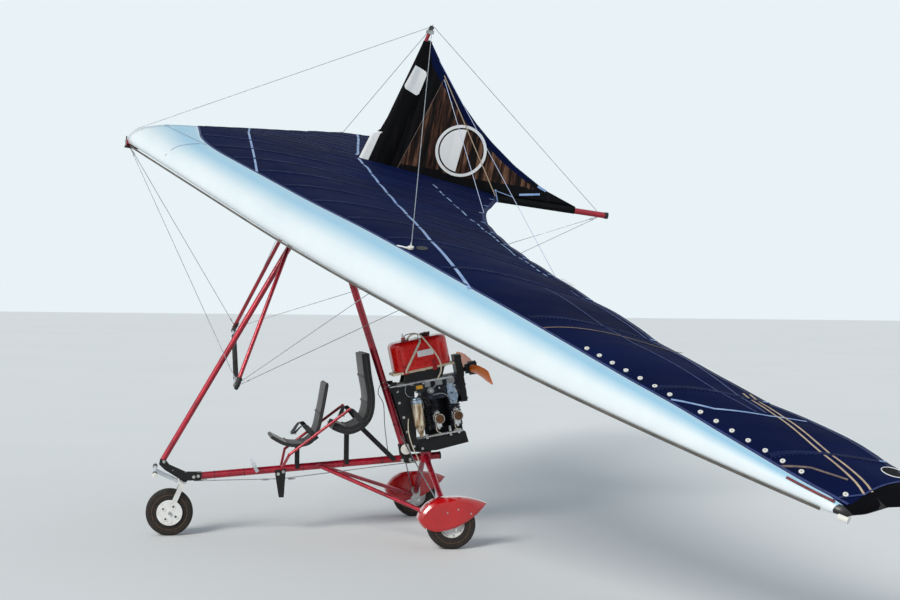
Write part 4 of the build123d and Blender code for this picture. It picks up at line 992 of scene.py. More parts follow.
class MICROLIGHT_OT_cords(Operator):
    """Lays the fuel hose, the control cables, the fuel pipes and the plug leads"""

    bl_idname = "microlight.cords"
    bl_label = "Cords"

    def execute(self, context):
        self.lay_cord("fuel_hose", "hose", 0.011,
                      [tank(0.066, 0.05, 0.1025), tank(0.06, 0.066, 0.135), st(0.125, 0.12, 1.388),
                       st(0.062, 0.155, 1.312), st(0.008, 0.164, 1.245), st(-0.026, 0.162, 1.185),
                       st(-0.033, 0.158, 1.13), st(-0.02, 0.135, 1.09), engine(0.208, 0.0985, -0.029)])
        self.lay_cord("throttle_cable", "cable", 0.004,
                      [engine(0.425, 0.099, -0.029), st(0.214, 0.128, 1.005), st(0.213, 0.132, 0.966),
                       st(0.176, 0.118, 0.938), st(0.15, 0.092, 0.945)])
        self.lay_cord("kill_switch_cable", "rubber", 0.005, [
            st(0.366, 0.016, 1.03), st(0.402, 0.03, 0.975), st(0.352, 0.046, 0.905), st(0.347, 0.05, 0.85),
            st(0.344, 0.045, 0.78), st(0.336, 0.036, 0.7), st(0.322, 0.026, 0.62), st(0.308, 0.012, 0.5272)],
            lay="hanging")
        self.lay_cord("choke_cable", "hose", 0.007, [
            st(0.182, 0.0915, 0.79), st(0.19, 0.118, 0.748), st(0.183, 0.124, 0.68), st(0.152, 0.118, 0.59),
            st(0.118, 0.1, 0.53), st(0.096, 0.066, 0.492), st(0.108, 0.026, 0.516)])
        self.lay_cord("pulse_hose", "cable", 0.006, [
            engine(0.252, 0.0765, -0.135), engine(0.235, 0.104, -0.128), engine(0.19, 0.11, -0.127),
            engine(0.157, 0.104, -0.15), engine(0.14, 0.0765, -0.178)])
        for k, fore in enumerate(CYLINDER_FORE):
            self.lay_cord(f"bowl_pipe_{k + 1}", "hose", 0.006, [
                engine(fore + 0.018, 0.104, -0.356), engine(fore + 0.022, 0.106, -0.375),
                engine(fore + 0.012, 0.103, -0.392), engine(fore - 0.008, 0.098, -0.4005)])
            self.lay_cord(f"plug_lead_{k + 1}", "rubber", 0.007, [
                engine(fore, -0.0545, -0.36), engine(fore, -0.1, -0.365), engine(fore + 0.02, -0.135, -0.31),
                engine(fore + 0.02, -0.135, -0.2), engine(fore + 0.012, -0.118, -0.13),
                engine(fore + 0.01, -0.0975, -0.1)])
        self.lay_cord("starter_lead", "rubber", 0.005, [
            engine(0.37, -0.0885, -0.045), engine(0.39, -0.12, -0.08), engine(0.378, -0.125, -0.16),
            engine(0.335, -0.112, -0.2), engine(0.3, -0.0765, -0.14)])
        return {"FINISHED"}

    def lay_cord(self, name, material, diameter, places, lay="loose"):
        """A cord from its first place back to the object."""
        data = bpy.data.curves.new(name, "CURVE")
        data.dimensions, data.resolution_u = "3D", 10
        line = data.splines.new("NURBS")
        line.points.add(len(places) - 1)
        for point, place in zip(line.points, places):
            point.co = (*place, 1)
        line.order_u, line.use_endpoint_u = 3, True
        made = bpy.data.objects.new(name, data)
        bpy.context.scene.collection.objects.link(made)
        centre = made.to_mesh()
        made.to_mesh_clear()
        data.bevel_depth, data.bevel_resolution, data.use_fill_caps = diameter / 2, 4, True
        data.materials.append(M[material])
        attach(made, "trike")


class MICROLIGHT_OT_engine(Operator):
    """Adds the engine's covers, carburettor parts, filters, exhaust rings and drive"""

    bl_idname = "microlight.engine"
    bl_label = "Engine"

    def execute(self, context):
        self.covers()
        self.carburettors()
        self.exhaust()
        self.drive()
        self.mount()
        return {"FINISHED"}

    def covers(self):
        """Crankcase ribs and lugs, ignition box and plate, air shroud, pump, gear cover, coils and bolts."""
        ribs = [block((0.006, 0.157, 0.1), (0.085 + 0.028 * k, 0, -0.1)) for k in range(9)]
        ribs.append(block((0.276, 0.16, 0.012), (0.195, 0, -0.092)))
        build("crankcase_ribs", ribs, "trike", "engine", place=ENGINE, bevel=0.0012)
        lugs = [block((0.052, 0.034, 0.046), (fore, side * 0.079, -0.049)) for fore in (0.115, 0.2, 0.285)
                for side in (1, -1)]
        build("rail_lugs", lugs, "trike", "cast", place=ENGINE, bevel=0.004)
        box = [slab([(0.3, -0.03), (0.372, -0.03), (0.38, -0.045), (0.38, -0.082), (0.366, -0.1),
                     (0.31, -0.1), (0.3, -0.088)], (0.0765, 0.1))]
        build("ignition_box", box, "trike", "rubber", place=ENGINE, bevel=0.003)
        # Air shroud behind the barrels, pressed from sheet
        duct = [slab([(0.318, -0.13), (0.058, -0.13), (0.058, -0.44), (0.08, -0.455), (0.31, -0.455),
                      (0.33, -0.44)], (-0.062, -0.058))]
        duct += [block((0.012, 0.005, 0.24), (0.08 + 0.045 * k, -0.0565, -0.265)) for k in range(6)]
        build("air_shroud", duct, "trike", "black", place=ENGINE, bevel=0.0015)
        build("amber_plate", [block((0.045, 0.0016, 0.025), (0.34, 0.1006, -0.063))], "trike", "amber",
              place=ENGINE, bevel=0.0005)
        pump = [turned([(0, 0.021), (0.006, 0.024), (0.016, 0.024), (0.019, 0.019), (0.026, 0.017),
                        (0.028, 0.006)], (0.265, 0.0765, -0.1), (0, 1, 0), 28),
                        turned([(0, 0.005), (0.03, 0.005), (0.031, 0.007), (0.034, 0.007)],
                               (0.248, 0.09, -0.086), (-0.6, 0.4, 0.5), 12)]
        build("fuel_pump", pump, "trike", "cast", place=ENGINE, bevel=0.001)
        cover = [slab([(0.142, -0.03), (0.11, -0.03), (0.078, -0.164), (0.096, -0.22), (0.14, -0.216),
                       (0.151, -0.148)], (0.077, 0.09)),
                       turned([(0, 0.032), (0.008, 0.032), (0.012, 0.027), (0.013, 0.01)],
                              (0.113, 0.09, -0.165), (0, 1, 0), 28)]
        build("gear_cover", cover, "trike", "blued", place=ENGINE, bevel=0.003)
        coil = [turned([(0, 0.015), (0.002, 0.018), (0.05, 0.018), (0.054, 0.013), (0.062, 0.008)],
                       (0.14 + 0.13 * k, -0.0975, -0.145), (0, 0, 1), 20) for k in range(2)]
        coil.append(block((0.19, 0.006, 0.03), (0.205, -0.0785, -0.115)))
        coil += [block((0.012, 0.02, 0.02), (fore, -0.084, -0.115)) for fore in (0.14, 0.27)]
        build("ignition_coils", coil, "trike", "rubber", place=ENGINE, bevel=0.0015)
        heads = [(0.1, 0.0905, -0.05), (0.13, 0.0905, -0.05), (0.09, 0.0905, -0.13), (0.136, 0.0905, -0.2),
                 (0.1, 0.0905, -0.206), (0.31, 0.1005, -0.04), (0.37, 0.1005, -0.09), (0.265, 0.1045, -0.1)]
        bolts = [(engine(*p), (0, 1, 0)) for p in heads]
        bolts += [(engine(0.09 + 0.055 * k, side * 0.0805, -0.092), (0, side, 0)) for k in range(5)
                  for side in (1, -1)]
        grown("cover_bolts", "fasteners", bolts, "trike", "steel", radius=0.0045, height=0.004, washer=0.0065)

    def carburettors(self):
        """Clamps, chamber covers, levers and pleated filters on both carburettors."""
        parts, pleats, shells, clamps = [], [], [], []
        mid, deep = -0.294, 0.006
        for fore in CYLINDER_FORE:
            parts.append(turned([(0, 0.018), (0.004, 0.02), (0.03, 0.02), (0.034, 0.015), (0.042, 0.009)],
                                (fore, 0.104, mid + 0.012), (0, 0, 1), 24))
            parts.append(block((0.052, 0.04, 0.006), (fore, 0.104, mid - 0.02)))
            parts.append(turned([(0, 0.011), (0.012, 0.011), (0.013, 0.007), (0.018, 0.007)],
                                (fore, 0.104, mid - 0.062), (0, 0, -1), 6))
            parts.append(sweep([(fore - 0.017, 0.104, mid), (fore - 0.032, 0.106, mid + 0.004),
                                (fore - 0.036, 0.108, mid + 0.022)], 0.004, 8))
            parts.append(block((0.05, 0.009, 0.05), (fore, 0.0685, mid)))
            for start in (0.1285, 0.1885):
                clamps.append(turned([(0, 0.0325), (0.001, 0.0345), (deep - 0.001, 0.0345), (deep, 0.0325)],
                                     (fore, start, mid), (0, 1, 0), 36))
            loops = []
            for along in (0.135, 0.188):
                loops.append([Vector((fore + (0.0318 + 0.0016 * (k % 2)) * cos(2 * pi * k / 72), along,
                                      mid + (0.0318 + 0.0016 * (k % 2)) * sin(2 * pi * k / 72)))
                                      for k in range(72)])
            pleats.append(rings(loops, caps=True))
            shells.append(turned([(0, 0.03), (0.003, 0.029), (0.0035, 0.022), (0.0025, 0.02),
                                  (0.0025, 0.004)], (fore, 0.194, mid), (0, 1, 0), 36))
        build("carburettor_parts", parts, "trike", "bright", place=ENGINE, bevel=0.0012)
        build("filter_pleats", pleats, "trike", "gauze", place=ENGINE, angle=15)
        build("filter_caps", shells, "trike", "gauze", place=ENGINE)
        build("filter_clamps", clamps, "trike", "steel", place=ENGINE)
        # Threaded rail under the bowls that the fuel pipes end on
        low = [sweep([engine(0.366, 0.097, -0.409), engine(0.09, 0.097, -0.409)], 0.0085, 16)]
        low += [block((0.016, 0.03, 0.03), ENGINE @ Matrix.Translation((fore, 0.084, -0.41)))
                for fore in (0.34, 0.115)]
        build("fuel_rail", low, "trike", "bright", bevel=0.001)
        caps = [turned([(0, 0.006), (0.012, 0.006), (0.013, 0.011), (0.035, 0.011), (0.036, 0.006),
                        (0.05, 0.005)], (fore, -0.02, -0.36), (0, -1, 0), 16) for fore in CYLINDER_FORE]
        build("plug_caps", caps, "trike", "rubber", place=ENGINE)

    def exhaust(self):
        """Collar, weld rings, clamps and springs of the exhaust can."""
        rings_made = [turned([(0, 0.03), (0.001, 0.0405), (0.024, 0.0412), (0.027, 0.0392)],
                             (*CAN_AXIS, -0.168), (0, 0, 1), 40) + ("blued",)]
        rings_made.append(turned([(0, 0.03), (0.004, 0.036), (0.012, 0.034), (0.016, 0.02)],
                                 (*CAN_AXIS, -0.142), (0, 0, 1), 40) + ("blued",))
        for up, radius in ((-0.192, 0.0386), (-0.245, 0.0383), (-0.316, 0.0388)):
            rings_made.append(hoop((*CAN_AXIS, up), (0, 0, 1), radius - 0.001, 0.0016, 40, 6))
        rings_made.append(turned([(0, 0.0135), (0.024, 0.0135), (0.025, 0.0115)], (*CAN_AXIS, -0.375),
                                 (0, 0, -1), 24))
        rings_made.append(sweep([(*CAN_AXIS, -0.15), (0.36, 0.128, -0.128), (0.31, 0.112, -0.145),
                                 (0.285, 0.08, -0.2)], 0.0155, 16) + ("black",))
        build("exhaust_rings", rings_made, "trike", "heat", place=ENGINE)
        springs = []
        for k in range(2):
            turn = 0.9 + 2.2 * k
            foot = Vector((CAN_AXIS[0] + 0.043 * cos(turn), CAN_AXIS[1] + 0.043 * sin(turn), -0.2))
            coil = [foot + Vector((0.0038 * cos(2 * pi * n / 8), 0.0038 * sin(2 * pi * n / 8), 0.03 * n / 64))
                    for n in range(65)]
            springs.append(sweep(coil, 0.0009, 5))
            springs.append(sweep([foot, foot + Vector((0, 0, -0.014))], 0.0012, 6))
            springs.append(sweep([foot + Vector((0, 0, 0.03)), foot + Vector((0, 0, 0.046))], 0.0012, 6))
        build("exhaust_springs", springs, "trike", "steel", place=ENGINE)

    def drive(self):
        """Covers and bolts of the reduction drive, bolts of the propeller and fittings on the silencer."""
        face = 0.0138
        parts = [turned([(0, 0.06), (0.002, 0.064), (0.006, 0.064), (0.007, 0.052), (0.0085, 0.05),
                         (0.009, 0.03)], (face + 0.001, 0, 0), (-1, 0, 0), 48),
                         slab([(-0.058, 0.105), (0.058, 0.105), (0.058, -0.205), (-0.058, -0.205)],
                              (0, 0.003), Matrix(((0, -1, 0, face + 0.0005), (1, 0, 0, 0), (0, 0, 1, 0),
                                                  (0, 0, 0, 1))))]
        parts.append(turned([(0, 0.04), (0.004, 0.04), (0.006, 0.034), (0.0065, 0.01)],
                            (face - 0.0025, 0, -0.15), (-1, 0, 0), 36))
        build("drive_cover", parts, "trike", "black", place=ENGINE, bevel=0.001)
        edge = [slab([(-0.0215, -0.206), (0.0215, -0.206), (0.0215, 0.102), (-0.0215, 0.102)],
                     (0.0638, 0.0662), Matrix.Translation((0.036, 0, 0)))]
        build("drive_side_plate", edge, "trike", "black", place=ENGINE, bevel=0.001)
        bolts = [(engine(face - 0.0025, y, up), ENGINE_AFT) for y in (-0.05, 0.05)
                 for up in (0.097, 0.0, -0.1, -0.197)]
        bolts += [(engine(fore, 0.0662, up), Vector((0, 1, 0))) for fore in (0.021, 0.051)
                  for up in (0.09, 0.02, -0.06, -0.12, -0.195)]
        grown("drive_bolts", "fasteners", bolts, "trike", "black", radius=0.0055, height=0.005, washer=0.008)
        # Bolts through the propeller's boss
        boss = ring_of(engine(-0.0945, 0, 0), ENGINE_AFT, 0.034, 6)
        grown("boss_bolts", "fasteners", boss, "propeller", "steel", radius=0.0055, height=0.006,
              washer=0.009)
        seam = [strap([st(-0.2395, 0.081, 0.643), st(-0.02, 0.081, 0.5865), st(0.1, 0.081, 0.584)],
                      [(0, 1, 0)] * 3, 0.009, 0.002),
                strap([st(-0.2205, 0.081, 0.693), st(0.102, 0.081, 0.639)], [(0, 1, 0)] * 2, 0.009, 0.002)]
        build("silencer_seams", seam, "trike", "black")
        tilt = Matrix.Rotation(0.17, 4, "Y")
        bracket = [block((0.05, 0.02, 0.016), Matrix.Translation(st(-0.165, 0.088, 0.715)) @ tilt),
                   block((0.016, 0.02, 0.07), Matrix.Translation(st(-0.113, 0.086, 0.71)) @ tilt)]
        build("silencer_bracket", bracket, "trike", "steel", bevel=0.002)

    def mount(self):
        """Bolts of the engine plates, rails and mast brackets."""
        bolts = []
        for side in (1, -1):
            for x, z in ((0.262, 0.98), (0.247, 0.9), (0.215, 0.8), (0.19, 0.7), (0.14, 0.6), (0.08, 0.585)):
                bolts.append((st(x, side * 0.0912, z), (0, side, 0)))
            for fore in (0.115, 0.2, 0.285, 0.46):
                bolts.append((engine(fore, side * 0.096, -0.029), (0, side, 0)))
        grown("mount_bolts", "fasteners", bolts, "trike", "steel", radius=0.006, height=0.006, washer=0.0095)
        clamps = []
        for side in (1, -1):
            clamps.append(slab([(0.49, -0.066), (0.54, -0.07), (0.546, -0.03), (0.53, 0.004), (0.492, 0.0)],
                               (side * 0.0905, side * 0.098), ENGINE) + ("black",))
        for z in (1.0, 1.04):
            clamps.append(hoop(st(mast_x(z), 0, z), (0.328, 0, 1), 0.0265, 0.003, 32, 6) + ("steel",))
        build("mast_clamps", clamps, "trike", "black", bevel=0.0015)


class MICROLIGHT_OT_tank(Operator):
    """Adds the tank's straps, blank label, handle, filler parts and pressed ribs"""

    bl_idname = "microlight.tank"
    bl_label = "Tank"

    def execute(self, context):
        half, top = 0.135, 0.1025
        ribs = [strap([tank(a, side * half, -0.08), tank(a + 0.002, side * half, 0.05)], [(0, side, 0)] * 2,
                      0.018, 0.0022) for side in (1, -1) for a in (-0.15, 0.155)]
        build("tank_ribs", ribs, "trike", "enamel", bevel=0.002)
        low, high = (0.208, 1.127), (0.118, 1.322)
        path = [st(low[0], 0.1395, low[1] - 0.02), st(low[0], 0.1385, low[1]), st(high[0], 0.1385, high[1]),
                st(high[0] - 0.002, 0.126, high[1] + 0.018), st(high[0] - 0.004, 0.09, high[1] + 0.0265)]
        ups = [(0, 1, 0), (0, 1, 0), (0, 1, 0.1), (0.2, 0.7, 0.7), (0.2, 0, 1)]
        far = [Vector((p.x, -p.y, p.z)) for p in reversed(path)]
        far_ups = [(u[0], -u[1], u[2]) for u in reversed(ups)]
        build("tank_strap", [strap(path + far, ups + far_ups, 0.015, 0.0022)], "trike", "hose", bevel=0.0006)
        red = []
        for along, low in ((0.128, -0.125), (-0.076, -0.13)):
            for side in (1, -1):
                red.append(strap([tank(along, side * 0.1115, low), tank(along, side * 0.1135, -0.112),
                                  tank(along, side * 0.137, -0.092), tank(along, side * 0.1365, -0.06)],
                                 [(0, side, 0)] * 4, 0.03, 0.003))
        build("shelf_straps", red, "trike", "red_webbing", bevel=0.0008)
        label = [strap([tank(-0.083, half + 0.0006, 0.0), tank(0.03, half + 0.0006, 0.0)], [(0, 1, 0)] * 2,
                       0.042, 0.0008)]
        build("blank_label", label, "trike", "label")
        wire = curved([tank(0.072, 0, top - 0.002), tank(0.076, 0, top + 0.026), tank(0.055, 0, top + 0.038),
                       tank(0.0, 0, top + 0.036), tank(-0.018, 0, top + 0.024),
                       tank(-0.014, 0, top - 0.002)], 6)
        build("tank_handle", [sweep(wire, 0.0032, 10)], "trike", "steel")
        neck = [turned([(0, 0.019), (0.004, 0.021), (0.008, 0.021), (0.009, 0.017)],
                       tank(0.092, 0.04, top + 0.002), TANK_UP, 28),
                       turned([(0, 0.009), (0.016, 0.009), (0.018, 0.006), (0.03, 0.005), (0.031, 0.002)],
                              tank(0.092, 0.04, top + 0.022), TANK_UP, 6)]
        build("tank_filler", neck, "trike", "steel", bevel=0.001)
        cap = [turned([(0, 0.031), (0.005, 0.0325), (0.018, 0.0325), (0.022, 0.028), (0.0225, 0.012),
                       (0.0275, 0.01), (0.0285, 0.004)], tank(-0.07, 0, top + 0.004), TANK_UP, 40)]
        build("tank_cap", cap, "trike", "rubber", bevel=0.001)
        grip = ring_of(tank(-0.07, 0, top + 0.0155), TANK_UP, 0.0325, 18)
        grown("cap_grips", "fasteners", grip, "trike", "rubber", radius=0.0028, height=0.014, sides=8,
              washer=0.001)
        nipple = [turned([(0, 0.009), (0.006, 0.009), (0.007, 0.0065), (0.02, 0.006)],
                         tank(0.066, 0.05, top - 0.001), TANK.to_3x3() @ Vector((-0.1, 0.3, 1)), 14)]
        build("tank_nipple", nipple, "trike", "steel")
        # Bolts that hold the shelf
        down = TANK.to_3x3() @ Vector((0, 0, -1))
        bolts = [(tank(a, side * 0.1, -0.1195), down) for a in (-0.15, 0.0, 0.15) for side in (1, -1)]
        grown("shelf_bolts", "fasteners", bolts, "trike", "steel", radius=0.005, height=0.005, washer=0.008)
        return {"FINISHED"}


SAIL_TAPES = (  # the piece's name, its material, width and places in plan
    ("diagonal", "tape", 0.018, ((-0.198, 0.09), (-0.237, 0.347), (-0.385, 1.824), (-0.421, 2.282),
                                 (-0.485, 2.638), (-0.553, 2.972))),
    ("nose", "tape", 0.014, ((0.56, 0.0), (0.558, 0.06), (0.517, 1.08))),
    ("crown", "seam", 0.008, ((0.9, 0.0), (-0.2, 0.0))),
    ("tip_a", "thread_brown", 0.008, ((-0.86, 3.406), (-1.348, 3.431), (-1.574, 3.45))),
    ("tip_b", "tape", 0.011, ((-1.347, 4.073), (-1.525, 4.168), (-1.776, 4.206), (-1.964, 4.184))),
    ("tip_c", "thread_brown", 0.012, ((-1.704, 4.585), (-1.829, 4.629), (-1.958, 4.729))),
    ("hem", "seam", 0.012, ((-1.168, 2.63), (-1.448, 3.341), (-1.56, 3.544), (-1.766, 4.169))),
    ("inner", "seam", 0.007, ((-0.981, 2.815), (-1.292, 3.506), (-1.511, 3.823), (-1.719, 4.177))),
    ("outer_a", "beige", 0.01, ((-1.743, 3.917), (-1.807, 4.179), (-1.928, 4.55), (-2.004, 4.812))),
    ("outer_b", "beige", 0.01, ((-1.78, 3.91), (-1.844, 4.172), (-1.965, 4.543), (-2.041, 4.805))),
    ("stop", "white_cloth", 0.02, ((-1.185, 2.335), (-1.222, 2.478))),
    ("tip_joint", "seam", 0.008, ((-1.87, 4.81), (-2.004, 4.812), (-2.196, 4.726))),
    ("nose_a", "silver_seam", 0.008, ((1.121, 0.0), (0.838, 0.472))),
    ("nose_b", "silver_seam", 0.008, ((1.085, 0.475), (1.006, 0.44), (0.878, 0.445))),
)
CORD_LINE = ((-0.702, 0.306), (-0.881, 1.192), (-0.951, 1.634), (-0.977, 1.914), (-1.094, 2.418))
EYELET_BACK = ((3.6, 0.191), (3.76, 0.179), (4.03, 0.163), (4.23, 0.143), (4.45, 0.109), (4.68, 0.078),
               (4.88, 0.085))
TANG = (-0.294, 2.461)


class MICROLIGHT_OT_sail_trim(Operator):
    """Adds batten pockets, tapes, seams, eyelets and hems to the sail"""

    bl_idname = "microlight.sail_trim"
    bl_label = "Sail trim"

    def execute(self, context):
        settings = context.scene.microlight_sail
        for name, side in SIDES.items():
            self.tapes(name, side)
            self.battens(name, side)
            self.edges(name, side)
            self.eyelets(name, side, settings.eyelet_radius)
        return {"FINISHED"}

    def tapes(self, name, side):
        """Tapes and seams across the cloth, with the stitched cord line."""
        forms = [band([(x, side * y) for x, y in places], width) + (key,) for _, key, width,
                 places in SAIL_TAPES]
        mapped(build(name + "_sail_tapes", forms, "wing", "tape"))
        cells, dashes = 6, []
        for (x0, y0), (x1, y1) in zip(CORD_LINE, CORD_LINE[1:]):
            for k in range(cells):
                a, b = k / cells, (k + 0.62) / cells
                dashes.append(band([(x0 + (x1 - x0) * a, side * (y0 + (y1 - y0) * a)),
                                    (x0 + (x1 - x0) * b, side * (y0 + (y1 - y0) * b))], 0.011, lift=0.002))
        mapped(build(name + "_shock_cord", dashes, "wing", "tape"))

    def battens(self, name, side):
        """A raised pocket over each batten, with its stitching and a pale tie at the hem."""
        pockets, ties, spots, runs = [], [], [], []
        for y in BATTENS:
            back = lead_x(y) - chord(y) * 0.992
            front = lead_x(y) - table_at(SILVER_EDGE, y) - 0.03
            if front - back < 0.3:
                continue
            pockets.append(band([(front, side * y), (back, side * y)], 0.024, lift=0.0005, thick=0.004,
                                step=0.06))
            for shift in (-0.015, 0.015):
                count = 24
                spots += [on_sail(front + (back - front) * k / (count - 1), side * (y + shift), 0.0012)
                          for k in range(count)]
                runs.append(count)
            ties.append(band([(back + 0.035, side * y), (back + 0.004, side * y)], 0.012, lift=0.005,
                             thick=0.002))
        mapped(build(name + "_batten_pockets", pockets, "wing", "pocket"))
        mapped(build(name + "_batten_ties", ties, "wing", "tape"))
        grown(name + "_batten_stitches", "stitches", spots, "wing", "seam", runs, step=0.02, length=0.011,
              width=0.0022, height=0.0012)

    def edges(self, name, side):
        """The seam behind the silver panel, the hem's tape, and a grey-brown strip of painted shade under the
        leading edge.
        """
        seam = [(lead_x(y) - table_at(SILVER_EDGE, y) - 0.006, side * y) for y in
                [0.02 + (HALF_SPAN - 0.05) * k / 44 for k in range(45)]]
        hem = [(-table_at(SAIL, y) + 0.016, side * y) for y in
               [0.02 + (HALF_SPAN - 0.03) * k / 60 for k in range(61)]]
        forms = [band(seam, 0.011) + ("seam",), band(hem, 0.03, lift=0.0008) + ("hem",)]
        # A dark red stripe across the silver panel near the tip
        stripe = [(lead_x(y) - table_at(SILVER_EDGE, y) * 0.55, side * y) for y in (4.64, 4.7, 4.76, 4.82)]
        forms.append(band(stripe, 0.012) + ("maroon",))
        mapped(build(name + "_sail_edges", forms, "wing", "seam"))
        # Painted shade: a grey-brown strip along the underside of the front edge
        path, ups = [], []
        for k in range(121):
            y = 0.06 + (TIP_CAP_Y - 0.1) * k / 120
            path.append(wing(lead_x(y) + 0.001, side * y, lead_z(y) + 0.006))
            ups.append(wing_way(0.9, 0, -0.43))
        mapped(build(name + "_edge_shade_strip", [strap(path, ups, 0.02, 0.0015)], "wing", "edge_shade"))

    def eyelets(self, name, side, radius):
        """The row of white eyelets near the tip, two of them missing, and the upper side wire's patch."""
        rims, holes = [], []
        first, spacing, growth = EYELET_ROW
        for k in range(EYELETS):
            if k in EYELETS_MISSING:
                continue
            y = first + spacing * k + growth * k * k
            back = table_at(EYELET_BACK, y)
            place, up = on_sail(lead_x(y) - back, side * y, 0.0005)
            rims.append(turned([(-0.002, radius), (0.004, radius), (0.0055, radius * 0.8),
                                (0.005, radius * 0.34), (0.0035, radius * 0.26)], place, up, 20))
            holes.append(turned([(0.002, radius * 0.24), (0.0042, radius * 0.24)], place, up, 12))
        build(name + "_eyelets", rims, "wing", "nylon")
        build(name + "_eyelet_holes", holes, "wing", "rubber")
        # Where the upper side wire comes through: a patch with a tang, and behind it a black disc that is the
        # painted shade of a round hole
        place, up = on_sail(TANG[0], side * TANG[1], 0.002)
        hole_shade, hole_shade_up = on_sail(TANG[0] - 0.063, side * (TANG[1] - 0.009), 0.0008)
        forms = [turned([(0, 0.018), (0.01, 0.018), (0.013, 0.013), (0.016, 0.006)], place, up, 20) + ("nylon",),
                 band([(-0.225, side * 2.415), (-0.262, side * 2.44)], 0.014, lift=0.003) + ("white_cloth",),
                 band([(-0.262, side * 2.44), (TANG[0], side * TANG[1])], 0.02, lift=0.002) + ("nylon",),
                 turned([(0, 0.032), (0.0015, 0.032)], hole_shade, hole_shade_up, 28) + ("rubber",)]
        mapped(build(name + "_wire_patch", forms, "wing", "black_cloth"))


FIN_EDGE = (  # height, x of the rear edge
    (0.027, -1.793), (0.114, -1.548), (0.143, -1.493), (0.252, -1.3), (0.388, -1.112), (0.5, -0.98),
    (0.629, -0.853), (0.828, -0.694), (1.01, -0.566),
)
LUFF_LEAD = (  # height, lead of the sleeve's edge ahead of the kingpost's axis
    (0.03, 0.09), (0.1, 0.117), (0.334, 0.1), (0.345, 0.055), (0.446, 0.04), (0.66, 0.03), (0.85, 0.02),
    (1.01, 0.0145),
)
DIAGONAL = ((-0.702, 0.763), (-0.469, 0.063))
BAND_TOP = ((-1.483, 0.108), (-1.194, 0.113), (-0.907, 0.118), (-0.744, 0.136), (-0.522, 0.145),
            (-0.306, 0.129))
PLEAT_RISE = 0.0045
PATCH_REAR = ((0.626, -0.53), (0.638, -0.548), (0.772, -0.579), (0.797, -0.571), (0.828, -0.491))  # height, x
PATCH_FRONT = ((0.626, -0.53), (0.662, -0.443), (0.682, -0.438), (0.828, -0.49))


def straight_at(table, z):
    """A value from a table by straight lines."""
    for (z0, a), (z1, b) in zip(table, table[1:]):
        if z <= z1:
            return a + (b - a) * max(0, z - z0) / (z1 - z0)
    return table[-1][1]


def post_x(z):
    return KINGPOST_FOOT.x + (KINGPOST_TOP.x - KINGPOST_FOOT.x) * z / KINGPOST_TOP.z


def band_top(x):
    """Height of the upper edge of the black band along the fin's foot."""
    return straight_at(BAND_TOP, x)


def sleeve_row(z):
    """Half a section of the luff sleeve at a height, from rear to front: x and half thickness."""
    axis, half = post_x(z), SLEEVE_HALF
    reach = max(straight_at(LUFF_LEAD, z), half + 0.0005)
    wide = reach - half
    return [(axis - 0.1 * smooth(1.05, 0.8, z) - 0.014, 0.0028), (axis - 0.045, 0.007),
            (axis - 0.014, half * 0.93), (axis, half + 0.0006), (axis + 0.01, half),
            (axis + 0.013 + wide * 0.35, half * (1 - 0.55 * min(1, wide / 0.05))),
            (axis + reach - 0.004 - wide * 0.25, 0.0062), (axis + reach - 0.001, 0.003), (axis + reach, 0.0)]


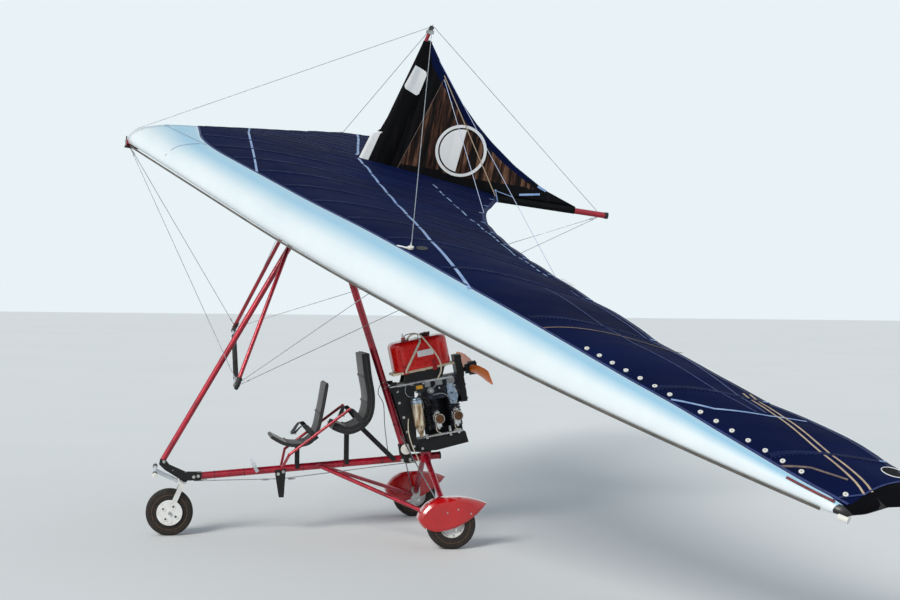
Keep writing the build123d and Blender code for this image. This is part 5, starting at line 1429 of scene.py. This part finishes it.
class MICROLIGHT_OT_fin(Operator):
    """Sews the fin from its panels, with the luff sleeve, the blank patch, the plain ring and the lines"""

    bl_idname = "microlight.fin"
    bl_label = "Fin"

    def execute(self, context):
        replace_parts(self.panel(), "fin")
        self.sleeve()
        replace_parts(self.pocket(), "keel_pocket")
        self.badges()
        self.lines()
        return {"FINISHED"}

    def panel(self):
        """The cloth behind the kingpost: black front, pleated brown middle, navy rear strip, black band."""
        columns, strip = 84, 5
        heights = sorted([0.027 + (1.008 - 0.027) * (k / 58) ** 0.95 for k in range(59)] + [0.1141])
        points, picks, chart = [], [], []
        for z in heights:
            front = post_x(z) - 0.0145
            back = straight_at(FIN_EDGE, z)
            inner = min(front - 0.003, back + 0.075 * smooth(1.0, 0.9, z))
            row = [front + (inner - front) * k / columns for k in range(columns + 1)]
            row += [inner + (back - inner) * k / strip for k in range(1, strip + 1)]
            for x in row:
                fade = smooth(front, front - 0.06, x) * smooth(back, back + 0.09, x)
                fade *= smooth(0.05, 0.2, z) * smooth(1.0, 0.8, z)
                drift = 0.35 * noise.noise(Vector((x * 3, z * 1.5, 0.7)))
                narrow = sin(2 * pi * (x + 0.12 * z + 0.02 * drift) / 0.052)
                fold = narrow + 0.6 * sin(2 * pi * (x + 0.2 * z) / 0.083 + 1)
                points.append(wing(x, PLEAT_RISE * fold * fade * (0.6 + drift), z))
                chart.append((x, z))
        count = columns + strip + 1
        faces = [(a, d, c, b) for a, b, c, d in grid(len(heights), count)]
        (xa, za), (xb, zb) = DIAGONAL
        for corners in faces:
            x, z = (sum(chart[k][n] for k in corners) / 4 for n in (0, 1))
            ahead = x > xb + (xa - xb) * (z - zb) / (za - zb)
            rear = corners[0] % count >= columns
            if z < band_top(x) or z > 0.76 and not ahead and not rear:
                picks.append("black_cloth")
            elif rear:
                picks.append("navy" if z > 0.15 else "black_cloth")
            else:
                picks.append("black_cloth" if ahead else "scrim")
        return sewn("fin_cloth", points, faces, chart, picks, "kingpost", "keel_tube", thick=0.0012)

    def sleeve(self):
        """The luff sleeve round the kingpost, which widens downwards into a flap coloured white as a painted
        highlight of the sun's glare.
        """
        heights = [0.075 + (1.0 - 0.075) * k / 52 for k in range(53)]
        points, chart, picks = [], [], []
        for z in heights:
            row = sleeve_row(z)
            row += [(x, -y) for x, y in reversed(row[:-1])]
            for x, y in row:
                points.append(wing(x, y, z))
                chart.append((x, z))
        count = len(row)
        for low, high in zip(heights, heights[1:]):
            # Below 0.334 the sleeve's front is white cloth, a painted highlight of sun glare
            glare_flap = (low + high) / 2 < 0.334
            picks += ["white_cloth" if glare_flap and 5 <= j <= count - 7 else "black_cloth"
                      for j in range(count - 1)]
        return sewn("luff_sleeve", points, grid(len(heights), count), chart, picks, "kingpost")

    def pocket(self):
        """The upright cloth along the keel between the kingpost and the nose."""
        rows, cells = 40, 6
        high = ((-0.262, 0.106), (0.2, 0.146), (0.64, 0.181), (0.9, 0.17), (1.11, 0.138), (1.236, 0.092),
                (1.29, 0.03))
        points, chart = [], []
        for k in range(rows + 1):
            x = -0.262 + (1.29 + 0.262) * k / rows
            top = straight_at(high, x)
            low = 0.0225 if abs(x) > 0.072 else 0.048
            for n in range(cells + 1):
                points.append(wing(x, 0.001 * sin(x * 21) * sin(pi * n / cells),
                                   low + (max(top, low + 0.004) - low) * n / cells))
                chart.append((x, points[-1].z))
        faces = grid(rows + 1, cells + 1)
        made = sewn("keel_pocket_cloth", points, faces, chart, ["under"] * len(faces), "keel_tube")
        # Sleeve of the tail: cloth laid round the keel from the fin's foot to the tail stop
        loops = []
        for k in range(25):
            x = -0.33 - (1.785 - 0.33) * k / 24
            loops.append([wing(x, 0.0225 * sin(t), -0.0225 * cos(t) + (0.006 if abs(t) > 2.4 else 0))
                          for t in [pi * (-1 + 2 * n / 24) for n in range(25)]])
        tail = build("tail_sleeve", [rings(loops, closed=False)], "wing", "black_cloth", closed=False)
        give_wall(mapped(tail))
        return made

    def badges(self):
        """On each side a blank white patch and a plain ring with a pale half disc; both carry no sign."""
        forms, centre, outer = [], (-0.905, 0.296), 0.181
        for side in (1, -1):
            y = side * 0.0085
            forms.append(self.patch(side))
            ring = []
            for radius, out in ((outer, -0.0022), (outer, 0.0012), (outer - 0.02, 0.0012),
                                (outer - 0.02, -0.0022)):
                ring.append([wing(centre[0] + radius * cos(2 * pi * k / 64), y + side * out,
                                  centre[1] + radius * sin(2 * pi * k / 64)) for k in range(64)])
            ring.append(ring[0])
            points, faces = rings(ring)
            forms.append((points, faces))
            arc = [(centre[0] + 0.15 * cos(t),
                    centre[1] + 0.15 * sin(t)) for t in [radians(96 - 7.5 * k) for k in range(25)]]
            forms.append(slab(arc, (side * 0.0065, side * 0.0092), WING))
        mapped(build("fin_badges", forms, "wing", "white_cloth"))

    def patch(self, side):
        """The blank patch, laid on the sleeve's side."""
        rows, cells, loops = 18, 14, []
        for k in range(rows + 1):
            z = PATCH_REAR[0][0] + (PATCH_REAR[-1][0] - PATCH_REAR[0][0]) * k / rows
            rear, front = straight_at(PATCH_REAR, z), straight_at(PATCH_FRONT, z)
            row = sleeve_row(z)
            front = min(front, row[-2][0] - 0.002)
            line = [rear + (front - rear) * n / cells for n in range(cells + 1)]
            over = [(x, straight_at(row, x)) for x in line]
            loops.append([wing(x, side * (y + 0.0022), z) for x,
                          y in over] + [wing(x, side * (y + 0.0008), z) for x, y in reversed(over)])
        points, faces = rings(loops, caps=True)
        return points, [face if side < 0 else face[::-1] for face in faces]

    def lines(self):
        """Taut luff lines with their bridle, the fin's tabs, seams and stitches, and the kingpost's cap."""
        ties = []
        tops = (wing(-0.7, 0.0, 0.79), wing(-0.706, 0.0, 0.762), wing(-0.651, 0.0, 0.884))
        for side in (1, -1):
            for top, foot, radius, key in ((tops[1], (-1.01, 0.735), 0.0022, "cord"),
                                           (tops[0], (-1.195, 0.1), 0.0034, "beige"),
                                           (tops[2], (-1.165, 2.319), 0.0018, "cord")):
                low = on_sail(foot[0] + 0.012, side * foot[1], 0.002)[0]
                if key == "beige" and side < 0:
                    continue
                ties.append(sweep([top, low], radius, 8) + (key,))
        knot = wing(-1.19, 0.04, 0.062)
        for x, y in ((-1.172, 0.27), (-1.165, -0.24)):
            ties.append(sweep([knot, on_sail(x, y, 0.002)[0]], 0.0032, 8) + ("tape",))
        ties.append(sweep([knot, wing(-1.33, 0.002, 0.03)], 0.0032, 8) + ("tape",))
        ties.append(turned([(0, 0.004), (0.004, 0.009), (0.012, 0.009), (0.016, 0.004)],
                           knot - Vector((0, 0, 0.008)), (0, 0, 1), 12) + ("tape",))
        build("luff_lines", ties, "wing", "cord")
        tabs = [strap([wing(x0, side * y, z0), wing(x1, side * y, z1)], [(0, side, 0)] * 2, width, 0.002)
                for x0, z0, x1, z1, y, width in ((-1.49, 0.132, -1.555, 0.108, 0.0035, 0.016),
                                                 (-1.37, 0.054, -1.515, 0.079, 0.0045, 0.014))
                                                 for side in (1, -1)]
        mapped(build("fin_tabs", tabs, "wing", "tape"))
        post = (KINGPOST_TOP - KINGPOST_FOOT).normalized()
        way = WING.to_3x3() @ post
        top = WING @ KINGPOST_TOP
        cap = [turned([(-0.03, 0.0145), (-0.028, 0.0165), (0.0, 0.0165), (0.006, 0.012), (0.007, 0.004)],
                      top, way, 24), turned([(0, 0.006), (0.01, 0.006), (0.012, 0.003)], top + way * 0.004,
                                            way, 6) + ("steel",)]
        for shift in (-0.016, 0.016):
            cap.append(block((0.05, 0.004, 0.024),
                             WING @ Matrix.Translation(KINGPOST_TOP + Vector((0.006, shift, -0.036))))
                       + ("steel",))
        build("kingpost_cap", cap, "wing", "rubber", bevel=0.001)
        edge, runs, spots = [], [], []
        for side in (1, -1):
            line = [wing(straight_at(FIN_EDGE, z) + 0.012, side * 0.002, z) for z in
                    [0.13 + (0.98 - 0.13) * k / 40 for k in range(41)]]
            spots += [(place, wing_way(0, side, 0)) for place in line]
            runs.append(len(line))
            seam = [wing(DIAGONAL[0][0] + (DIAGONAL[1][0] - DIAGONAL[0][0]) * k / 20, side * 0.0065,
                         DIAGONAL[0][1] + (DIAGONAL[1][1] - DIAGONAL[0][1]) * k / 20) for k in range(21)]
            edge.append(strap(seam, [(0, side, 0)] * 21, 0.0035, 0.0014))
        mapped(build("fin_seams", edge, "wing", "thread_brown"))
        grown("fin_stitches", "stitches", spots, "wing", "seam", runs, step=0.018, length=0.01, width=0.002,
              height=0.0012)


class MICROLIGHT_OT_wing_hardware(Operator):
    """Adds ferrules, grips, corner fittings, bolts and tip discs to the wing"""

    bl_idname = "microlight.wing_hardware"
    bl_label = "Wing hardware"

    def execute(self, context):
        x, half, down = BAR
        corner = {side: Vector((x, side * half, down)) for side in SIDES.values()}
        forms, bolts = [], []
        apex = Vector((0.062, 0, -0.03))
        for side in SIDES.values():
            leg = (corner[side] - apex).normalized()
            end = corner[side] - leg * 0.02
            forms.append(sweep([WING @ (end - leg * 0.05), WING @ (end + leg * 0.012)], 0.0175,
                               20) + ("rubber",))
            forms.append(sweep([wing(x, side * (half - 0.085), down), wing(x, side * (half - 0.02), down)],
                               0.0172, 20) + ("rubber",))
            forms.append(block((0.034, 0.05, 0.005),
                               WING @ Matrix.Translation(corner[side] + Vector((0, -side * 0.022, 0.02))))
                         + ("steel",))
            forms.append(turned([(0, 0.012), (0.006, 0.014), (0.009, 0.006)],
                                WING @ (corner[side] + Vector((0, side * 0.004, 0))), wing_way(0, side, 0),
                                16) + ("rubber",))
            for shift in (0.0, 0.022):
                bolts.append((wing(x + 0.0145, side * (half - 0.035 - shift), down), wing_way(1, 0, 0)))
            bolts.append((WING @ (end - leg * 0.035 + Vector((0.0175, 0, 0))), wing_way(1, 0, 0)))
        # Foam grip over the middle of the base bar
        grip = [sweep([wing(x, -0.56, down), wing(x, -0.5595, down), wing(x, 0.5595, down),
                       wing(x, 0.56, down)], [0.0155, 0.0178, 0.0178, 0.0155], 24)]
        build("bar_grip", grip, "wing", "foam")
        build("bar_corners", forms, "wing", "steel", bevel=0.001)
        for side in SIDES.values():
            for bx, by in ((1.33, 0.02), (1.31, 0.045), (1.285, 0.03), (1.345, 0.006)):
                bolts.append((wing(bx, side * by, 0.0), wing_way(0, 0, 1)))
        nose = [turned([(0, 0.008), (0.05, 0.008), (0.052, 0.005)], wing(1.352, 0, -0.03),
                       wing_way(0.2, 0, 1), 12)]
        build("nose_pin", nose, "wing", "steel")
        grown("wing_bolts", "fasteners", bolts, "wing", "steel", radius=0.0055, height=0.006, washer=0.009)
        self.wire_ends()
        self.tips()
        return {"FINISHED"}

    def wire_ends(self):
        """A pressed ferrule at both ends of the front, rear and upper side wires."""
        x, half, down = BAR
        corner = Vector((x, half - 0.006, down + 0.018))
        ends = [(corner + Vector((0.006, 0, 0.022)), Vector((KEEL_NOSE - 0.03, 0.016, -0.033))),
                (corner + Vector((-0.026, -0.004, 0.006)), Vector((-1.957, 0.008, -0.0218)))]
        top = KINGPOST_TOP + Vector((0.01, 0, -0.022))
        ends += [(top, Vector((TANG[0], TANG[1], 0.003)))]
        forms = []
        for a, b in ends:
            for side in SIDES.values():
                p, q = wing(a.x, side * a.y, a.z), wing(b.x, side * b.y, b.z)
                way = (q - p).normalized()
                for start, run in ((p, way), (q, -way)):
                    forms.append(sweep([start + run * 0.03, start + run * 0.034, start + run * 0.058,
                                        start + run * 0.062],
                                       [0.0028, 0.0045, 0.0045, 0.0028], 10))
        build("wire_ferrules", forms, "wing", "alloy")

    def tips(self):
        """A plain ringed disc on each tip's upper cloth, without any sign."""
        discs = []
        for side in SIDES.values():
            place, up = on_sail(-2.2, side * 4.64, 0.0008)
            discs.append(turned([(0, 0.052), (0.001, 0.052)], place, up, 40) + ("black_cloth",))
            discs.append(hoop(place + up * 0.001, up, 0.053, 0.0022, 48, 6))
        mapped(build("tip_discs", discs, "wing", "white_cloth"))


SEATS = (  # name, path of the sling in stations, half width, thickness, place of each cross seam as a share
    ("pilot", ((0.77, 1.04), (0.8, 0.86), (0.838, 0.7), (0.9, 0.64), (1.02, 0.64), (1.12, 0.69)),
     0.175, 0.034, (0.22, 0.44, 0.62, 0.8)),
    ("passenger", ((0.528, 1.24), (0.508, 1.085), (0.484, 0.93), (0.507, 0.81), (0.6, 0.75), (0.7, 0.78)),
     0.185, 0.064, (0.2, 0.42, 0.63, 0.82)),
)


class MICROLIGHT_OT_seats(Operator):
    """Fills the two sling seats by a short cloth simulation and adds seams, piping and belts"""

    bl_idname = "microlight.seats"
    bl_label = "Seats"

    def execute(self, context):
        for name, path, half, thick, seams in SEATS:
            line = curved([st(x, 0, z) for x, z in path], 7)
            self.cushion(context, name, line, half, thick, seams)
            self.trim(name, line, half, thick, seams)
        self.belts()
        return {"FINISHED"}

    def normals(self, line):
        """The direction behind and below the sling at each point."""
        return [Vector((w.z, 0, -w.x)) * (1 if w.z < 0 or w.x > 0 else -1) for w in directions(line)]

    def cushion(self, context, name, line, half, thick, seams):
        """One padded sling as a closed skin, held along its border and cross seams."""
        backs = self.normals(line)
        inset = 0.006
        loops = []
        for p, back in zip(line, backs):
            a, b = p + back * inset * 0.5, p + back * (thick - inset)
            w = half - inset
            loops.append([a + Vector((0, -w, 0)), a + Vector((0, w, 0)), b + Vector((0, w, 0)),
                          b + Vector((0, -w, 0))])
        made = build(name + "_seat_cushion", [rings(loops, caps=True)], "trike", "canvas")
        even = made.modifiers.new("even", "REMESH")
        even.mode, even.voxel_size = "VOXEL", 0.0065
        self.bake(made)
        self.inflate(context, made, line, half, seams)
        subdivide(made, 1)
        made.data.shade_smooth()
        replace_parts(made, name + "_seat")

    def bake(self, made):
        """Applies an object's modifiers to its own mesh."""
        graph = bpy.context.evaluated_depsgraph_get()
        mesh = bpy.data.meshes.new_from_object(made.evaluated_get(graph), preserve_all_data_layers=True,
                                               depsgraph=graph)
        made.modifiers.clear()
        made.data = mesh

    def inflate(self, context, made, line, half, seams):
        """A pressure simulation on a copy, each point moved by 9 mm at most."""
        rest = [v.co.copy() for v in made.data.vertices]
        group = made.vertex_groups.new(name="seams")
        last = len(line) - 1
        for k, co in enumerate(rest):
            near = min(range(len(line)), key=lambda n: (line[n].x - co.x) ** 2 + (line[n].z - co.z) ** 2)
            share = near / last
            edge = half - abs(co.y) < 0.012 or share < 0.02 or share > 0.98
            if edge or min(abs(share - s) for s in seams) < 0.016:
                group.add([k], 1.0, "REPLACE")
        cloth = made.modifiers.new("filling", "CLOTH")
        rules = cloth.settings
        rules.quality, rules.mass = 4, 0.25
        rules.tension_stiffness = rules.compression_stiffness = 12
        rules.bending_stiffness = 0.3
        rules.use_pressure, rules.uniform_pressure_force = True, 4
        rules.effector_weights.gravity = 0
        rules.vertex_group_mass = group.name
        cloth.point_cache.frame_start, cloth.point_cache.frame_end = 1, 16
        for moment in range(1, 17):
            context.scene.frame_set(moment)
        graph = context.evaluated_depsgraph_get()
        puffed = [v.co.copy() for v in made.evaluated_get(graph).data.vertices]
        made.modifiers.remove(cloth)
        made.vertex_groups.clear()
        context.scene.frame_set(1)
        for vertex, was, now in zip(made.data.vertices, rest, puffed):
            move = now - was
            if move.length > 0.009:
                move *= 0.009 / move.length
            vertex.co = was + move

    def trim(self, name, line, half, thick, seams):
        """Piping round the border and stitched tapes over the cross seams."""
        backs = self.normals(line)
        forms = []
        for side in (1, -1):
            middle = [p + back * thick * 0.5 + Vector((0, side * (half - 0.004), 0)) for p,
                      back in zip(line, backs)]
            forms.append(sweep(middle, 0.005, 8))
        for k in (0, -1):
            end = line[k] + backs[k] * thick * 0.5
            forms.append(sweep([end + Vector((0, -half + 0.004, 0)), end + Vector((0, half - 0.004, 0))],
                               0.005, 8))
        build(name + "_seat_piping", forms, "trike", "webbing")
        spots, runs, tapes = [], [], []
        for s in seams:
            k = round(s * (len(line) - 1))
            p, front = line[k] - backs[k] * 0.0005, -backs[k]
            tapes.append(strap([p + Vector((0, -half + 0.012, 0)), p + Vector((0, half - 0.012, 0))],
                               [front] * 2, 0.014, 0.002))
            count = 28
            spots += [(p + front * 0.003 + Vector((0, (half - 0.02) * (2 * n / (count - 1) - 1), 0)), front)
                      for n in range(count)]
            runs.append(count)
        build(name + "_seat_tapes", tapes, "trike", "webbing")
        grown(name + "_seat_stitches", "stitches", spots, "trike", "seat_thread", runs, step=0.008,
              length=0.005, width=0.0012, height=0.0008)

    def belts(self):
        """A lap belt with its buckle on each seat."""
        forms = []
        for x0, z0, x1, z1, half in ((0.842, 0.7, 0.99, 0.665, 0.172), (0.53, 0.81, 0.66, 0.785, 0.182)):
            for side in (1, -1):
                path = curved([st(x0 - 0.02, side * (half + 0.006), z0 - 0.04),
                               st(x0 + 0.03, side * (half + 0.004), z0 + 0.02),
                               st(x0 + 0.07, side * half * 0.8, z0 + 0.052),
                               st(x1 - 0.03, side * half * 0.45, z1 + 0.035),
                               st(x1 - 0.02, side * 0.04, z1 + 0.022)], 6)
                ups = [Vector((0.25, side * max(0, 1 - 2.2 * k / len(path)),
                               0.15 + 1.4 * k / len(path))) for k in range(len(path))]
                forms.append(strap(path, ups, 0.034, 0.0028))
            tongue = st(x1 - 0.02, 0, z1 + 0.022)
            forms.append(block((0.04, 0.09, 0.009), Matrix.Translation(tongue)) + ("steel",))
            forms.append(block((0.028, 0.03, 0.006),
                               Matrix.Translation(tongue + Vector((0, 0.02, 0.007)))) + ("black",))
        build("lap_belts", forms, "trike", "webbing", bevel=0.0008)


class MICROLIGHT_OT_wheels(Operator):
    """Adds ribs, tread, hub rings, bolts and valves to the wheels"""

    bl_idname = "microlight.wheels"
    bl_label = "Wheels"

    def execute(self, context):
        for body, x, y, width in (("front_wheel", FRONT_AXLE_X, 0.0, 0.088),
                                  ("port_wheel", 0.0, HALF_TRACK, 0.092),
                                  ("starboard_wheel", 0.0, -HALF_TRACK, 0.092)):
            self.wheel(body, st(x, y, WHEEL_R), width)
        return {"FINISHED"}

    def wheel(self, body, centre, width):
        """Raised wall ribs, tread blocks and the hub's small parts."""
        ribs, across = [], Vector((0, 1, 0))
        for side in (1, -1):
            for radius, out in ((0.1, 0.44), (0.118, 0.49), (0.133, 0.47)):
                ribs.append(hoop(centre + across * side * width * out, across, radius, 0.0018, 56, 6))
        ribs += [hoop(centre + across * shift, across, WHEEL_R - 0.0028 - 9.0 * shift * shift, 0.0026, 64, 6)
                 for shift in (-0.018, -0.006, 0.006, 0.018)]
        # The ribs' tan is partly dust, partly painted sunlit highlight
        build(body + "_tyre_ribs", ribs, body, "rib_rubber")
        spots, runs = [], []
        for shift in (-0.029, 0.029):
            count = 73
            radius = WHEEL_R - 0.0085
            for k in range(count):
                turn = 2 * pi * k / (count - 1)
                out = Vector((cos(turn), 0, sin(turn)))
                spots.append((centre + across * shift + out * radius,
                              out + across * (0.5 if shift > 0 else -0.5)))
            runs.append(count)
        grown(body + "_tread", "stitches", spots, body, "tyre", runs, step=0.0165, length=0.01, width=0.012,
              height=0.004)
        forms, bolts = [], []
        for side in (1, -1):
            face = centre + across * side * 0.0305
            forms.append(hoop(centre + across * side * 0.0335, across, 0.0815, 0.0026, 56, 8) + ("white",))
            forms.append(turned([(0, 0.021), (0.003, 0.021), (0.006, 0.016), (0.012, 0.015), (0.013, 0.01)],
                                face, across * side, 24) + ("steel",))
            bolts += ring_of(face, across * side, 0.034, 4, 0.6)
            bolts += ring_of(face, across * side, 0.072, 8, 0.2)
        stem = centre + Vector((0.052, 0.033, 0.035))
        forms.append(sweep([stem, stem + Vector((-0.004, 0.014, -0.003)),
                            stem + Vector((-0.007, 0.028, -0.005))], [0.004, 0.0035, 0.0042],
                            10) + ("rubber",))
        build(body + "_hub_parts", forms, body, "steel")
        grown(body + "_hub_bolts", "fasteners", bolts, body, "steel", radius=0.0042, height=0.004,
              washer=0.0065)


class MICROLIGHT_OT_trike_hardware(Operator):
    """Adds bolts, bands, cable ends, plugs, axle nuts and fork fittings to the trike"""

    bl_idname = "microlight.trike_hardware"
    bl_label = "Trike hardware"

    def execute(self, context):
        self.bolts()
        self.frame_parts()
        self.nose_parts()
        self.spat_parts()
        return {"FINISHED"}

    def bolts(self):
        """Bolt heads on the frame's joints, both sides."""
        spots = [(0.19, 0.045, 0.585), (0.16, 0.045, 0.505), (0.215, 0.045, 0.5), (0.05, 0.048, 0.53),
                 (0.03, 0.048, 0.5), (0.745, 0.0383, 2.33), (0.76, 0.0383, 2.26), (0.83, 0.0383, 2.3),
                 (0.85, 0.0383, 2.24),
                 (1.035, 0.0303, 0.425), (1.07, 0.0303, 0.41), (1.61, 0.0303, 0.4), (1.64, 0.0303, 0.395),
                 (1.84, 0.0303, 0.5)]
        bolts = [(st(x, side * y, z), (0, side, 0)) for x, y, z in spots for side in (1, -1)]
        grown("frame_bolts", "fasteners", bolts, "trike", "steel", radius=0.007, height=0.006, washer=0.011)

    def frame_parts(self):
        """Plugs, bands round the tubes, cable ends and the white discs of the mast's foot."""
        lean = (HANG_X - MAST_FOOT[0]) / (HANG_Z - MAST_FOOT[1])
        forms = []
        slope = Vector((1.71, 0, -0.135)).normalized()
        for x, way in ((-0.062, -1), (1.652, 1)):
            forms.append(turned([(-0.012, 0.0262), (-0.002, 0.0262), (0.0, 0.024), (0.001, 0.008)],
                                st(x, 0, base_z(x)), slope * way, 28) + ("rubber",))
        for x in (0.35, 0.62, 0.9, 1.3, 1.5):
            forms.append(hoop(st(x, 0, base_z(x)), slope, 0.0258, 0.0022, 28, 6) + ("rubber",))
        for z in (0.75, 1.25, 1.7, 2.1):
            forms.append(hoop(st(mast_x(z), 0, z), (lean, 0, 1), 0.0258, 0.0018, 28, 6) + ("rubber",))
        for side in (1, -1):
            disc = [(0, 0.034), (0.004, 0.037), (0.009, 0.037), (0.011, 0.034), (0.0112, 0.014),
                    (0.0145, 0.013), (0.015, 0.004)]
            forms.append(turned(disc, st(0.19, side * 0.0455, 0.578), (0, side, 0), 36) + ("nylon",))
            forms.append(sweep([st(0.1, side * 0.012, base_z(0.1) - 0.03),
                                st(0.13, side * 0.006, base_z(0.13) - 0.037)],
                               0.004, 8) + ("steel",))
        build("frame_parts", forms, "trike", "steel")
        ends = [sweep([st(x, 0, z), st(x + dx * 0.4, 0, z + dz * 0.4), st(x + dx, 0, z + dz)],
                      [0.0035, 0.0062, 0.0062], 10)
                for x, z, dx, dz in ((0.13, 0.482, 0.05, -0.006), (1.6, 0.367, -0.05, 0.004),
                                     (0.95, 0.374, 0.05, -0.003),
                                     (1.13, 0.369, 0.05, 0.0))]
        build("under_cable_ends", ends, "trike", "bright")

    def nose_parts(self):
        """Rims on the fork's discs, the axle nuts and the grips of the foot bar."""
        axle = st(FRONT_AXLE_X, 0, WHEEL_R)
        holes, washers = [], []
        for side in (1, -1):
            for k in range(4):
                turn = radians(32 + 90 * k)
                spot = axle + Vector((0.049 * cos(turn), side * 0.0705, 0.049 * sin(turn)))
                washers.append(hoop(spot, (0, 1, 0), 0.0095, 0.0014, 20, 6))
            holes.append(turned([(0, 0.013), (0.006, 0.013), (0.007, 0.009), (0.013, 0.009), (0.014, 0.006)],
                                axle + Vector((0, side * 0.0702, 0)), (0, side, 0), 6))
        build("fork_rims", washers, "fork", "white")
        build("fork_axle_nuts", holes, "fork", "steel")
        grips = []
        for side in (1, -1):
            grips.append(turned([(0, 0.0135), (0.002, 0.0155), (0.08, 0.0155), (0.083, 0.012)],
                                st(1.899, side * 0.205, 0.44), (0, side, 0), 20) + ("rubber",))
            grips.append(turned([(0, 0.0155), (0.006, 0.0165), (0.012, 0.0155), (0.015, 0.008)],
                                st(1.899, side * 0.288, 0.44), (0, side, 0), 20) + ("nylon",))
        build("foot_grips", grips, "fork", "rubber")

    def spat_parts(self):
        """Axle nuts and the bolts of the spats."""
        forms, bolts = [], []
        for side in (1, -1):
            for x, z in ((-0.035, 0.262), (0.035, 0.242), (-0.12, 0.235)):
                bolts.append((st(x, side * 0.829, z), (0, side, 0)))
            forms.append(turned([(0, 0.017), (0.012, 0.017), (0.015, 0.013), (0.016, 0.005)],
                                st(0, side * 0.796, WHEEL_R), (0, side, 0), 6))
        build("axle_nuts", forms, "trike", "steel")
        grown("spat_bolts", "fasteners", bolts, "trike", "steel", radius=0.006, height=0.004, washer=0.0095)


OPERATORS = (
    MICROLIGHT_OT_stage,
    MICROLIGHT_OT_frame_finish,
    MICROLIGHT_OT_cords,
    MICROLIGHT_OT_engine,
    MICROLIGHT_OT_tank,
    MICROLIGHT_OT_sails,
    MICROLIGHT_OT_sail_trim,
    MICROLIGHT_OT_fin,
    MICROLIGHT_OT_wing_hardware,
    MICROLIGHT_OT_seats,
    MICROLIGHT_OT_wheels,
    MICROLIGHT_OT_trike_hardware,
)


class MICROLIGHT_PT_panel(Panel):
    """Lists the steps and the settings of the aircraft"""

    bl_label = "Microlight"
    bl_space_type = "VIEW_3D"
    bl_region_type = "UI"
    bl_category = "Microlight"

    def draw(self, context):
        scene = context.scene
        for group in (scene.microlight_stage, scene.microlight_sail, scene.microlight_trike):
            for key in group.bl_rna.properties.keys():
                if key not in {"rna_type", "name"}:
                    self.layout.prop(group, key)
        for operator in OPERATORS:
            self.layout.operator(operator.bl_idname)


CLASSES = (SailSettings, TrikeSettings, StageSettings, *OPERATORS, MICROLIGHT_PT_panel)


def register():
    for cls in CLASSES:
        bpy.utils.register_class(cls)
    bpy.types.Scene.microlight_sail = PointerProperty(type=SailSettings)
    bpy.types.Scene.microlight_trike = PointerProperty(type=TrikeSettings)
    bpy.types.Scene.microlight_stage = PointerProperty(type=StageSettings)


def unregister():
    for key in ("microlight_sail", "microlight_trike", "microlight_stage"):
        delattr(bpy.types.Scene, key)
    for cls in reversed(CLASSES):
        bpy.utils.unregister_class(cls)


def main():
    register()
    for operator in OPERATORS:
        group, name = operator.bl_idname.split(".")
        getattr(getattr(bpy.ops, group), name)()


if __name__ == "__main__":
    main()
